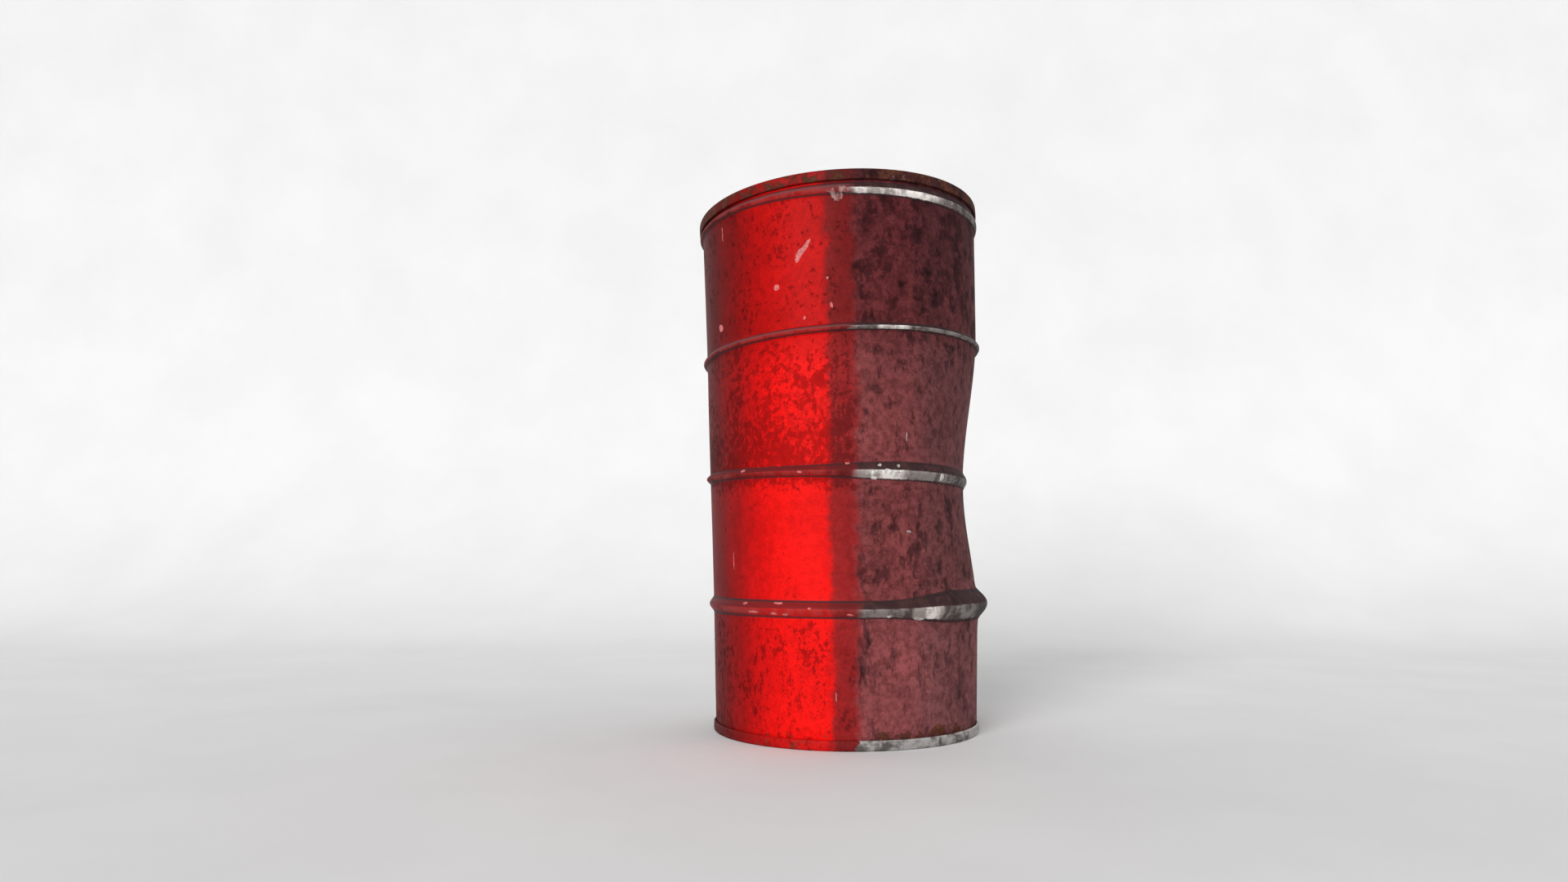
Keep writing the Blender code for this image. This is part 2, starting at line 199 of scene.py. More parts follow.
# Mesh helpers
def spun(points, steps, closed=False):
    shape = bmesh.new()
    line = [shape.verts.new((radius, 0, height)) for radius, height in points]
    for start, end in zip(line, line[1:] + line[:1] if closed else line[1:]):
        shape.edges.new((start, end))
    bmesh.ops.spin(
        shape, geom=shape.verts[:] + shape.edges[:], cent=(0, 0, 0), axis=(0, 0, 1),
        angle=2 * pi, steps=steps, use_merge=True,
    )
    bmesh.ops.remove_doubles(shape, verts=shape.verts, dist=meshing["merge"])
    bmesh.ops.recalc_face_normals(shape, faces=shape.faces)
    return shape


def toObject(name, shape, material=None):
    mesh = bpy.data.meshes.new(name)
    shape.to_mesh(mesh)
    shape.free()
    mesh.shade_smooth()
    mesh.set_sharp_from_angle(angle=meshing["sharpFrom"])
    if material:
        mesh.materials.append(material)
    piece = bpy.data.objects.new(name, mesh)
    bpy.context.scene.collection.objects.link(piece)
    return piece


def giveSheet(piece):
    sheet = piece.modifiers.new("sheet", "SOLIDIFY")
    sheet.thickness = drum["sheet"]
    sheet.offset = 0
    sheet.use_even_offset = True


def applyModifiers(piece):
    graph = bpy.context.evaluated_depsgraph_get()
    mesh = bpy.data.meshes.new_from_object(piece.evaluated_get(graph), depsgraph=graph)
    piece.modifiers.clear()
    piece.data = mesh


def cutWith(piece, tool, operation="DIFFERENCE"):
    cut = piece.modifiers.new("cut", "BOOLEAN")
    cut.operation = operation
    cut.solver = "EXACT"
    cut.object = tool
    bpy.context.view_layer.update()
    applyModifiers(piece)
    bpy.data.objects.remove(tool, do_unlink=True)


def keepStraight(mesh, places):
    straight = mesh.attributes.new("straight", "FLOAT_VECTOR", "POINT")
    for spot, place in zip(straight.data, places):
        spot.vector = place


# Shader helpers
class nodeWriter:
    def __init__(self, tree):
        self.tree = tree

    def put(self, socket, value):
        if isinstance(value, bpy.types.NodeSocket):
            self.tree.links.new(value, socket)
        elif hasattr(socket.default_value, "__len__") and not hasattr(value, "__len__"):
            socket.default_value = [value] * len(socket.default_value)
        elif hasattr(value, "__len__") and len(socket.default_value) == 4 and len(value) == 3:
            socket.default_value = (*value, 1)
        else:
            socket.default_value = value

    def add(self, kind, inputs=(), output=0, **settings):
        node = self.tree.nodes.new(kind)
        for key, value in settings.items():
            setattr(node, key, value)
        for key, value in dict(inputs).items():
            self.put(node.inputs[key], value)
        return node.outputs[output]

    def math(self, operation, first, second=0.0):
        return self.add("ShaderNodeMath", {0: first, 1: second}, operation=operation)

    def plus(self, first, second):
        return self.math("ADD", first, second)

    def minus(self, first, second):
        return self.math("SUBTRACT", first, second)

    def times(self, first, second):
        return self.math("MULTIPLY", first, second)

    def most(self, first, second):
        return self.math("MAXIMUM", first, second)

    def swing(self, value, reach):  # from 0..1 to either side of nothing
        return self.times(self.minus(value, 0.5), reach)

    def vector(self, operation, first, second=(0, 0, 0), output=0):
        return self.add("ShaderNodeVectorMath", {0: first, 1: second}, output, operation=operation)

    def tinted(self, colour, shade):
        return self.vector("MULTIPLY", colour, shade)

    def fit(self, value, low, high, toLow=0.0, toHigh=1.0):
        inputs = {"Value": value, "From Min": low, "From Max": high, "To Min": toLow, "To Max": toHigh}
        return self.add("ShaderNodeMapRange", inputs, interpolation_type="SMOOTHSTEP")

    def edge(self, value, middle, soft):
        return self.fit(value, self.minus(middle, soft), self.plus(middle, soft))

    def blend(self, share, first, second):
        return self.add("ShaderNodeMix", {0: share, 6: first, 7: second}, 2, data_type="RGBA")

    def mixValue(self, share, first, second):
        return self.add("ShaderNodeMix", {0: share, 2: first, 3: second}, 0, data_type="FLOAT")

    def attribute(self, name, output="Fac"):
        return self.add("ShaderNodeAttribute", (), output, attribute_name=name, attribute_type="GEOMETRY")

    def grain(self, place, scale, detail=4.0, rough=0.55, output=0):
        inputs = {"Vector": place, "Scale": scale, "Detail": detail, "Roughness": rough}
        return self.add("ShaderNodeTexNoise", inputs, output)

    def frayed(self, place, scale, reach):
        noiseColour = self.grain(place, scale, 4.0, 0.5, "Color")
        return self.vector("MULTIPLY", self.vector("SUBTRACT", noiseColour, (0.5, 0.5, 0.5)), reach)

    def ramp(self, value, stops):
        node = self.tree.nodes.new("ShaderNodeValToRGB")
        while len(node.color_ramp.elements) < len(stops):
            node.color_ramp.elements.new(0.5)
        for element, (place, colour) in zip(node.color_ramp.elements, stops):
            element.position = place
            element.color = (*colour, 1)
        self.put(node.inputs[0], value)
        return node.outputs[0]

    def bump(self, height, strength):
        return self.add("ShaderNodeBump", {"Strength": strength, "Distance": 1.0, "Height": height})

    def group(self, tree, output, **inputs):
        node = self.tree.nodes.new("ShaderNodeGroup")
        node.node_tree = tree
        for key, value in inputs.items():
            self.put(node.inputs[key], value)
        return node.outputs[output] if isinstance(output, str) else [node.outputs[name] for name in output]


def newGroup(name, inputs, outputs):
    tree = bpy.data.node_groups.new(name, "ShaderNodeTree")
    for label, (kind, value) in inputs.items():
        socket = tree.interface.new_socket(label, in_out="INPUT", socket_type="NodeSocket" + kind)
        socket.default_value = value
    for label, kind in outputs.items():
        tree.interface.new_socket(label, in_out="OUTPUT", socket_type="NodeSocket" + kind)
    write = nodeWriter(tree)
    given = tree.nodes.new("NodeGroupInput").outputs
    taken = tree.nodes.new("NodeGroupOutput").inputs
    return tree, write, given, taken


def newMaterial(name):
    material = bpy.data.materials.new(name)
    material.use_nodes = True
    write = nodeWriter(material.node_tree)
    return material, write, material.node_tree.nodes["Principled BSDF"]


# Where a point lies on the straight drum: metres round from the front, degrees and height
placeOutputs = {"Straight": "Vector", "Flat": "Vector", "Turn": "Float", "Height": "Float"}
drumPlace, write, given, taken = newGroup("drumPlace", {}, placeOutputs)
straight = write.attribute("straight", "Vector")
axes = write.tree.nodes.new("ShaderNodeSeparateXYZ")
write.put(axes.inputs[0], straight)
turn = write.math("ARCTAN2", axes.outputs[0], write.times(axes.outputs[1], -1.0))
flat = write.add("ShaderNodeCombineXYZ", {0: write.times(turn, drum["middleRadius"]), 1: axes.outputs[2]})
write.put(taken["Straight"], straight)
write.put(taken["Flat"], flat)
write.put(taken["Turn"], write.math("DEGREES", turn))
write.put(taken["Height"], axes.outputs[2])

# Stains: clusters of grains, more of them as Level rises, drawn out upwards by Stretch
stainFinish = {
    "coarse": (1.0, 4.0, 0.55),  # every grain: scale, detail, roughness
    "fine": (5.0, 0.65),
    "limit": 0.640,
    "perLevel": 0.17,
}
stains, write, given, taken = newGroup(
    "stains",
    {
        "Place": ("Vector", (0, 0, 0)), "Scale": ("Float", 26.0), "Stretch": ("Float", 1.5),
        "Level": ("Float", 0.5), "Fine": ("Float", 0.5), "FineScale": ("Float", 4.5), "Soft": ("Float", 0.05),
    },
    {"Mask": "Float"},
)
upScale = write.math("DIVIDE", given["Scale"], given["Stretch"])
drawn = write.add("ShaderNodeCombineXYZ", {0: given["Scale"], 1: given["Scale"], 2: upScale})
drawnPlace = write.vector("MULTIPLY", given["Place"], drawn)
coarse = write.grain(drawnPlace, *stainFinish["coarse"])
fine = write.grain(drawnPlace, given["FineScale"], *stainFinish["fine"])
value = write.mixValue(given["Fine"], coarse, fine)
limit = write.minus(stainFinish["limit"], write.times(given["Level"], stainFinish["perLevel"]))
write.put(taken["Mask"], write.edge(value, limit, given["Soft"]))

# One chip or scratch in the paint, at a place round the drum and a height
paintChip, write, given, taken = newGroup(
    "paintChip",
    {
        "Flat": ("Vector", (0, 0, 0)), "Ragged": ("Vector", (0, 0, 0)), "Middle": ("Vector", (0, 0, 0)),
        "Size": ("Vector", (0.01, 0.01, 1)), "Tilt": ("Float", 0.0), "Inside": ("Float", 0.82),
    },
    {"Mask": "Float"},
)
offset = write.vector("SUBTRACT", write.vector("ADD", given["Flat"], given["Ragged"]), given["Middle"])
turnInputs = {"Vector": offset, "Angle": given["Tilt"]}
turnedOffset = write.add("ShaderNodeVectorRotate", turnInputs, rotation_type="Z_AXIS")
distance = write.vector("LENGTH", write.vector("DIVIDE", turnedOffset, given["Size"]), output="Value")
write.put(taken["Mask"], write.fit(distance, 1.0, given["Inside"]))

# Rust: its colour, its grain for bump and where it lies for a given amount
rustFinish = {
    "coarse": (38.0, 6.0, 0.65),
    "fine": (210.0, 4.0, 0.6),
    "coarseShare": 0.65,
    "fineShare": 0.35,
    "tones": [
        (0.30, (0.016, 0.008, 0.007)), (0.48, (0.052, 0.017, 0.012)),
        (0.60, (0.110, 0.035, 0.020)), (0.74, (0.200, 0.070, 0.034)),
    ],
    "limit": 0.86,
    "perAmount": 0.72,
    "soft": 0.05,
}
rustCoat, write, given, taken = newGroup(
    "rustCoat",
    {"Place": ("Vector", (0, 0, 0)), "Amount": ("Float", 0.5)},
    {"Colour": "Color", "Mask": "Float", "Height": "Float"},
)
coarse = write.grain(given["Place"], *rustFinish["coarse"])
fine = write.grain(given["Place"], *rustFinish["fine"])
tone = write.plus(write.times(coarse, rustFinish["coarseShare"]), write.times(fine, rustFinish["fineShare"]))
limit = write.minus(rustFinish["limit"], write.times(given["Amount"], rustFinish["perAmount"]))
write.put(taken["Colour"], write.ramp(tone, rustFinish["tones"]))
write.put(taken["Mask"], write.edge(coarse, limit, rustFinish["soft"]))
write.put(taken["Height"], fine)

# Bare steel: dulled, with darker tarnish and fine scores along the hoops
steelFinish = {
    "tarnish": (55.0, 6.0, 0.68),
    "scoreStretch": (60.0, 60.0, 900.0),
    "scores": (1.0, 3.0, 0.5),
    "patch": (13.0, 3.0, 0.5),
    "patchRange": (0.35, 0.62, -0.10, 0.06),
    "tarnishShare": 0.8,
    "scoreShare": 0.2,
    "shadeRange": (0.38, 0.60),
    "roughness": (0.62, 0.38),  # where it is dark and where it is light
}
bareSteel, write, given, taken = newGroup(
    "bareSteel",
    {
        "Place": ("Vector", (0, 0, 0)),
        "Light": ("Color", (0.62, 0.60, 0.58, 1)),
        "Dark": ("Color", (0.20, 0.18, 0.17, 1)),
    },
    {"Colour": "Color", "Roughness": "Float", "Height": "Float"},
)
tarnish = write.grain(given["Place"], *steelFinish["tarnish"])
scorePlace = write.vector("MULTIPLY", given["Place"], steelFinish["scoreStretch"])
scores = write.grain(scorePlace, *steelFinish["scores"])
patch = write.fit(write.grain(given["Place"], *steelFinish["patch"]), *steelFinish["patchRange"])
shade = write.times(tarnish, steelFinish["tarnishShare"])
shade = write.plus(shade, write.times(scores, steelFinish["scoreShare"]))
shade = write.fit(write.plus(shade, patch), *steelFinish["shadeRange"])
write.put(taken["Colour"], write.blend(shade, given["Dark"], given["Light"]))
write.put(taken["Roughness"], write.fit(shade, 0.0, 1.0, *steelFinish["roughness"]))
write.put(taken["Height"], scores)

# The paint of shell and heads: chalked mauve-brown, with a bright red band of painted light round the front
# left
paintFinish = {
    "roundStops": [  # degrees round from the front, colour; the red stops are painted red light
        (-180, (0.156, 0.048, 0.050)), (-128, (0.156, 0.048, 0.050)), (-112, (0.156, 0.005, 0.006)),
        (-66, (0.166, 0.004, 0.005)), (-50, (0.380, 0.005, 0.005)), (-36, (0.840, 0.006, 0.005)),
        (-28, (0.985, 0.007, 0.005)), (-10, (0.985, 0.007, 0.005)), (-7, (0.385, 0.017, 0.017)),
        (0, (0.322, 0.019, 0.020)), (4, (0.185, 0.045, 0.046)), (22, (0.179, 0.047, 0.049)),
        (34, (0.146, 0.049, 0.051)), (180, (0.156, 0.048, 0.050)),
    ],
    "waver": (45.0, 6.0, 0.65),
    "waverReach": 9.0,  # degrees
    "outsideRedLightFrom": (0.497, 0.513),  # as shares of the way round
    "outsideRedLightTo": (0.19, 0.14),
    "outsideRedLightShade": [  # share of the height, how much lighter or darker; the darker top is partly painted shade
        (0.0, (1.30, 1.36, 1.34)), (0.20, (1.25, 1.30, 1.28)), (0.26, (1.02, 0.98, 0.96)),
        (0.44, (0.98, 0.95, 0.93)), (0.49, (0.95, 0.97, 0.96)), (0.66, (0.89, 0.89, 0.88)),
        (0.74, (0.70, 0.54, 0.56)), (1.0, (0.60, 0.46, 0.50)),
    ],
    # Darker towards the top, partly painted shade
    "redShade": [
        (0.0, 0.97), (0.20, 0.97), (0.26, 1.0), (0.44, 1.0),
        (0.49, 0.96), (0.66, 0.96), (0.73, 0.61), (1.0, 0.58),
    ],
    "redStains": [  # share of the height, how many
        (0.0, 0.48), (0.20, 0.48), (0.24, 0.15), (0.43, 0.10), (0.47, 1.15),
        (0.53, 1.0), (0.61, 0.74), (0.70, 0.60), (0.72, 0.40), (1.0, 0.40),
    ],
    "outsideRedLightStains": [
        (0.0, 0.35), (0.20, 0.30), (0.25, 0.50), (0.45, 0.45),
        (0.49, 0.20), (0.65, 0.25), (0.72, 0.70), (1.0, 0.80),
    ],
    "outsideRedLightBands": [  # scale and stretch of the stains between two shares of the height
        (42.0, 3.2, -1.0, 0.232), (44.0, 2.0, 0.232, 0.47),
        (58.0, 1.5, 0.47, 0.710), (44.0, 1.5, 0.710, 2.0),
    ],
    "bandEdge": 0.012,
    "redStain": {"Scale": 22.0, "Stretch": 1.3, "Fine": 0.68, "FineScale": 5.5, "Soft": 0.028},
    "outsideRedLightStain": {"Fine": 0.20, "FineScale": 4.0, "Soft": 0.075},
    "smallStain": {"Scale": 120.0, "Stretch": 1.2},
    "stainShares": {"red": 0.86, "all": 0.80, "broad": 0.40, "smallLevel": 0.8, "small": 0.50, "chalk": 0.55},
    "broadStretch": (13.0, 13.0, 9.0),
    "broad": (1.0, 3.0, 0.5),
    "broadRange": (0.42, 0.62),
    "cloud": (11.0, 4.0, 0.55),
    "cloudRange": (0.35, 0.65, 0.0, 0.30),
    "cloudShade": (0.50, 0.55, 0.60),
    "mottle": (75.0, 6.0, 0.72),
    "mottleRange": (0.36, 0.62),
    "mottleDark": ((0.82, 0.70, 0.70), (0.66, 0.60, 0.61)),  # these pairs: in the painted red light, outside it
    "mottleLight": ((1.0, 1.0, 1.0), (1.24, 1.20, 1.20)),
    "stainShade": ((0.30, 0.40, 0.45), (0.22, 0.30, 0.34)),
    "chalk": ((0.68, 0.60, 0.60), (1.55, 1.45, 1.45)),
    "roughness": (0.50, 0.68),
    "stainRoughness": 0.14,
    "speck": (330.0, 4.0, 0.7),
    "speckRange": (0.38, 0.64),
    "speckBump": 0.25,
    "stainBump": 0.6,
}


def grey(rows):
    return [(place, (level,) * 3) for place, level in rows]


def halved(rows):
    return [(place, [share / 2 for share in shade]) for place, shade in rows]


agedPaint, write, given, taken = newGroup(
    "agedPaint",
    {"Place": ("Vector", (0, 0, 0)), "Turn": ("Float", 0.0), "Height": ("Float", 0.0)},
    {"Colour": "Color", "Roughness": "Float", "Bump": "Float", "Faded": "Float"},
)
place, stainShares = given["Place"], paintFinish["stainShares"]
# Where the painted red light ends, with a wavering edge
waver = write.swing(write.grain(place, *paintFinish["waver"]), paintFinish["waverReach"])
roundShare = write.math("DIVIDE", write.plus(write.plus(given["Turn"], waver), 180.0), 360.0)
outsideRedLightFrom, outsideRedLightTo = (write.fit(roundShare, *paintFinish[key]) for key in ("outsideRedLightFrom", "outsideRedLightTo"))
outsideRedLight = write.most(outsideRedLightFrom, outsideRedLightTo)


def byRedLight(key):
    return write.blend(outsideRedLight, *paintFinish[key])


# Colour round the drum: a bright red painted highlight from -28 to -10 degrees, darker red further left
# The shades are over 1 in places, so the ramps hold halves of them
base = write.ramp(roundShare, [((turn + 180) / 360, colour) for turn, colour in paintFinish["roundStops"]])
upward = write.math("DIVIDE", given["Height"], drum["height"])
redLevel = write.ramp(upward, grey(paintFinish["redStains"]))
outsideRedLightLevel = write.ramp(upward, grey(paintFinish["outsideRedLightStains"]))
level = write.mixValue(outsideRedLight, redLevel, outsideRedLightLevel)
# Both height ramps darken the top, partly as painted shade
redShade = write.ramp(upward, halved(grey(paintFinish["redShade"])))
outsideRedLightShade = write.ramp(upward, halved(paintFinish["outsideRedLightShade"]))
base = write.tinted(write.tinted(base, write.blend(outsideRedLight, redShade, outsideRedLightShade)), (2.0, 2.0, 2.0))

redStain = write.group(stains, "Mask", Place=place, Level=level, **paintFinish["redStain"])
outsideRedLightStain = 0.0
for scale, stretch, low, high in paintFinish["outsideRedLightBands"]:
    look = {"Scale": scale, "Stretch": stretch, **paintFinish["outsideRedLightStain"]}
    band = write.group(stains, "Mask", Place=place, Level=level, **look)
    above = write.fit(upward, low, low + paintFinish["bandEdge"])
    below = write.fit(upward, high + paintFinish["bandEdge"], high)
    outsideRedLightStain = write.plus(write.times(band, write.times(above, below)), outsideRedLightStain)
stain = write.mixValue(outsideRedLight, write.times(redStain, stainShares["red"]), outsideRedLightStain)
broadGrain = write.grain(write.vector("MULTIPLY", place, paintFinish["broadStretch"]), *paintFinish["broad"])
broad = write.times(write.fit(broadGrain, *paintFinish["broadRange"]), outsideRedLight)
broad = write.times(broad, write.times(level, stainShares["broad"]))
smallLevel = write.times(level, stainShares["smallLevel"])
small = write.group(stains, "Mask", Place=place, Level=smallLevel, **paintFinish["smallStain"])
stained = write.most(write.times(stain, stainShares["all"]), broad)
stained = write.most(stained, write.times(small, stainShares["small"]))

cloud = write.fit(write.grain(place, *paintFinish["cloud"]), *paintFinish["cloudRange"])
base = write.blend(cloud, base, write.tinted(base, paintFinish["cloudShade"]))
mottle = write.fit(write.grain(place, *paintFinish["mottle"]), *paintFinish["mottleRange"])
base = write.tinted(base, write.blend(mottle, byRedLight("mottleDark"), byRedLight("mottleLight")))
colour = write.blend(stained, base, write.tinted(base, byRedLight("stainShade")))
speck = write.fit(write.grain(place, *paintFinish["speck"]), *paintFinish["speckRange"])
chalky = write.tinted(colour, byRedLight("chalk"))
colour = write.blend(write.times(speck, stainShares["chalk"]), colour, chalky)
roughness = write.mixValue(outsideRedLight, *paintFinish["roughness"])
bump = write.minus(write.times(speck, paintFinish["speckBump"]), write.times(stain, paintFinish["stainBump"]))
write.put(taken["Colour"], colour)
write.put(taken["Roughness"], write.plus(roughness, write.times(stain, paintFinish["stainRoughness"])))
write.put(taken["Bump"], bump)
write.put(taken["Faded"], outsideRedLight)
paintOutputs = ["Colour", "Roughness", "Bump", "Faded"]
rustOutputs = ["Colour", "Mask", "Height"]

# What shell and heads share: how worn steel and rust shine and stand out on the sheet
sheetFinish = {
    "metallic": 0.50,
    "rustRoughness": 0.85,
    "paintRelief": 0.00010,
    "wornRelief": 0.00014,
    "rustRelief": 0.0003,
    "bump": 0.8,
}


def finishSheet(write, shader, metal, bare, roughness, paintBump, rust):
    rustMask, rustHeight = rust
    metallic = write.minus(sheetFinish["metallic"], write.times(rustMask, sheetFinish["metallic"]))
    paintRelief = write.times(paintBump, sheetFinish["paintRelief"])
    relief = write.minus(paintRelief, write.times(bare, sheetFinish["wornRelief"]))
    relief = write.plus(relief, write.times(write.times(rustMask, rustHeight), sheetFinish["rustRelief"]))
    roughness = write.mixValue(bare, *roughness)
    write.put(shader.inputs["Metallic"], write.times(metal, metallic))
    write.put(shader.inputs["Roughness"], write.mixValue(rustMask, roughness, sheetFinish["rustRoughness"]))
    write.put(shader.inputs["Normal"], write.bump(relief, sheetFinish["bump"]))


# The shell's own material
shellFinish = {
    # Painted shade and dirt: near black at the hoops' feet, dark on their upper slopes outside the red band
    "hoopShadeAndDirt": (0.030, 0.018, 0.020),
    "dryDirt": (0.062, 0.031, 0.027),
    # Hoops in the painted red light: a lilac painted sheen up the high hoops, darker red on the low ones, a
    # red-lit face
    "redHoopTop": (0.255, 0.082, 0.086),
    "lowRedHoopTop": (0.190, 0.022, 0.023),
    "redHoopFace": (0.330, 0.050, 0.048),
    # Chips in the red band: pale metal turned pink by painted red light
    "chipInRed": (0.760, 0.185, 0.180),
    "chipOutsideRedLight": (0.480, 0.450, 0.430),
    "chipOnSteel": (0.900, 0.870, 0.830),
    "smudge": (0.420, 0.270, 0.260),
    "weld": (0.060, 0.026, 0.019),
    "dirtShade": (0.30, 0.36, 0.40),
    # Painted shade on the hoop crests in the red band
    "crestShade": (0.35, 0.5, 0.5),
    "chipShade": (0.62, 0.62, 0.62),
    "steelLight": ((0.275, 0.245, 0.230), (0.120, 0.098, 0.095), (0.93, 0.87, 0.83)),  # usual, painted shade near the right edge, painted highlight
    "steelDark": ((0.083, 0.064, 0.058), (0.045, 0.036, 0.035), (0.34, 0.30, 0.28)),
    "specular": 0.06,
    "polishGrain": (7.0,),
    "hoopGrain": (85.0, 6.0, 0.7),
    "dirtGrain": (48.0, 5.0, 0.65),
    "chipGrain": (240.0,),
    "hoopReach": 0.40,
    "weldReach": 2.0,  # degrees
    "ranges": {
        "polish": (0.50, 0.60),
        "backPolish": (88.0, 100.0),  # degrees either way from the front
        "darkSteelFrom": (44.0, 64.0),  # degrees to the right
        "darkSteelTo": (105.0, 85.0),
        "wornCrest": (0.10, 0.30),
        "wornSlope": (0.35, 0.10),
        "wornInRed": (1.02, 1.22),
        "slopeCrest": (0.04, 0.16),
        "slopeUp": (0.10, 0.30),
        "footFrom": (0.0, 0.05),
        "footTo": (0.40, 0.16),
        "highHoops": (0.50, 0.58),  # metres up
        "crestShade": (0.1, 0.5),
        "rubbedCrest": (0.25, 0.60),
        "rubbed": (0.38, 0.58, 0.15, 0.55),
        "dryDirt": (0.42, 0.66),
        "slopeDirt": (0.30, 0.46, 0.45, 0.94),
        "weld": (178.9, 179.7),
        "chip": (0.40, 0.62),
        "lowRust": (0.050, 0.016),
    },
    "shares": {
        "slopeGrain": 0.4, "dirt": 0.75, "redTop": 0.75, "redCrest": 0.55, "foot": 0.85, "smudge": 0.8,
        "weld": 0.75, "chip": 0.9, "lowRust": 0.40, "fadedRust": 0.10,
    },
    "raggedEdge": (150.0, (0.0045, 0.0045, 0.0)),  # scale of the noise and its reach
    "wideEdge": (60.0, (0.030, 0.050, 0.0)),
    "inside": {"chips": 0.82, "dirtPatches": 0.20, "smudges": 0.10, "polished": 0.75},  # where a mark is full
    "chips": [  # round in metres, height, half width, half height, tilt if any
        (-0.0660, 0.7600, 0.0040, 0.0200, 0.62), (-0.0745, 0.7500, 0.0045, 0.0120, 0.35),
        (-0.1116, 0.7052, 0.0052, 0.0056, 0.3), (-0.2406, 0.6676, 0.0080, 0.0060, 0.5),
        (-0.2266, 0.8180, 0.0012, 0.0130, -0.05), (-0.0674, 0.6505, 0.0018, 0.0040, 0.3),
        (-0.0253, 0.6668, 0.0018, 0.0045, -0.3), (-0.0305, 0.7104, 0.0022, 0.0030, 0.2),
        (0.0897, 0.4705, 0.0009, 0.0070, 0.05), (0.0921, 0.3270, 0.0045, 0.0018, 0.2),
        (-0.2193, 0.2825, 0.0011, 0.0150, -0.03), (-0.0272, 0.0800, 0.0013, 0.0070),
        (0.0317, 0.4150, 0.0022, 0.0045), (0.0350, 0.4125, 0.0045, 0.0018),
        (0.0559, 0.4182, 0.0110, 0.0025), (-0.0059, 0.4270, 0.0035, 0.0016),
        (0.0430, 0.4237, 0.0030, 0.0014), (0.0736, 0.4230, 0.0030, 0.0014),
        (0.1614, 0.4166, 0.0060, 0.0030), (-0.1838, 0.4230, 0.0045, 0.0025),
        (-0.0789, 0.4175, 0.0040, 0.0016), (-0.1860, 0.2159, 0.0050, 0.0022),
        (-0.1207, 0.2177, 0.0090, 0.0020), (-0.1666, 0.2040, 0.0110, 0.0020),
        (-0.1275, 0.2024, 0.0060, 0.0022), (-0.1081, 0.2017, 0.0045, 0.0018),
        (-0.0669, 0.2113, 0.0030, 0.0016), (-0.0051, 0.2025, 0.0060, 0.0018),
        (0.0557, 0.1998, 0.0040, 0.0016), (0.1069, 0.1976, 0.0100, 0.0020),
    ],
    "dirtPatches": [  # dark soft patches and runs: round in metres, height, half width, half height
        (0.0680, 0.7866, 0.010, 0.012), (0.1177, 0.7819, 0.010, 0.018), (0.1559, 0.7678, 0.014, 0.016),
        (0.1374, 0.7290, 0.018, 0.017), (0.0851, 0.6940, 0.012, 0.034), (0.1218, 0.6839, 0.015, 0.030),
        (0.0695, 0.6663, 0.014, 0.015), (0.1483, 0.6764, 0.014, 0.026), (0.0296, 0.8018, 0.012, 0.015),
        (0.1880, 0.6050, 0.012, 0.012), (0.0394, 0.5388, 0.014, 0.014), (0.0236, 0.5100, 0.008, 0.014),
        (0.1568, 0.3324, 0.012, 0.020), (0.0652, 0.3341, 0.012, 0.012), (0.1842, 0.3699, 0.012, 0.026),
        (0.1150, 0.3610, 0.007, 0.018), (0.1495, 0.2785, 0.015, 0.018), (0.1017, 0.2660, 0.007, 0.020),
        (0.0799, 0.2785, 0.006, 0.022), (0.1252, 0.2430, 0.009, 0.016), (0.0110, 0.1070, 0.006, 0.038),
        (0.1430, 0.1180, 0.005, 0.036), (0.2000, 0.0820, 0.018, 0.022), (0.0235, 0.1620, 0.010, 0.014),
    ],
    "smudges": [(-0.0161, 0.8437, 0.010, 0.005), (-0.0030, 0.8495, 0.012, 0.005)],
    # Painted highlights: bright steel on the shoulder and on the hoop faces
    "polished": [
        (0.045, 0.417, 0.048, 0.014), (0.121, 0.205, 0.032, 0.020),
        (0.080, 0.8505, 0.085, 0.014), (0.070, 0.630, 0.030, 0.014),
    ],
}
shellPaint, write, shader = newMaterial("agedRedPaint")
place, flat, turn, height = write.group(drumPlace, ["Straight", "Flat", "Turn", "Height"])
crest, slope = write.attribute("crest"), write.attribute("slope")
paintInputs = {"Place": place, "Turn": turn, "Height": height}
paint, paintRough, paintBump, outsideRedLight = write.group(agedPaint, paintOutputs, **paintInputs)
raggedEdge = write.frayed(place, *shellFinish["raggedEdge"])
wideEdge = write.frayed(place, *shellFinish["wideEdge"])
shares = shellFinish["shares"]


def marks(kind, edge):
    joined = 0.0
    for middle, up, halfWidth, halfHeight, *tilt in shellFinish[kind]:
        mask = write.group(
            paintChip, "Mask", Flat=flat, Ragged=edge, Middle=(middle, up, 0),
            Size=(halfWidth, halfHeight, 1), Tilt=sum(tilt), Inside=shellFinish["inside"][kind],
        )
        joined = write.most(mask, joined)
    return joined


def inRange(value, key):
    return write.fit(value, *shellFinish["ranges"][key])


# Marks and steel, with painted highlights on the hoops and painted shade near the right edge
chipMask = marks("chips", raggedEdge)
dirtMask = marks("dirtPatches", wideEdge)
smudgeMask = marks("smudges", wideEdge)
aroundTurn = write.math("ABSOLUTE", turn)
backPolish = inRange(write.grain(place, *shellFinish["polishGrain"]), "polish")
backPolish = write.times(backPolish, inRange(aroundTurn, "backPolish"))
polish = write.most(marks("polished", raggedEdge), backPolish)
# Painted shade: the hoop steel darker towards the right edge
darkSteel = write.times(inRange(turn, "darkSteelFrom"), inRange(turn, "darkSteelTo"))
steelTones = {}
for key, label in (("steelLight", "Light"), ("steelDark", "Dark")):
    usual, dark, polished = shellFinish[key]
    steelTones[label] = write.blend(polish, write.blend(darkSteel, usual, dark), polished)
steel, steelRough = write.group(bareSteel, ["Colour", "Roughness"], Place=place, **steelTones)

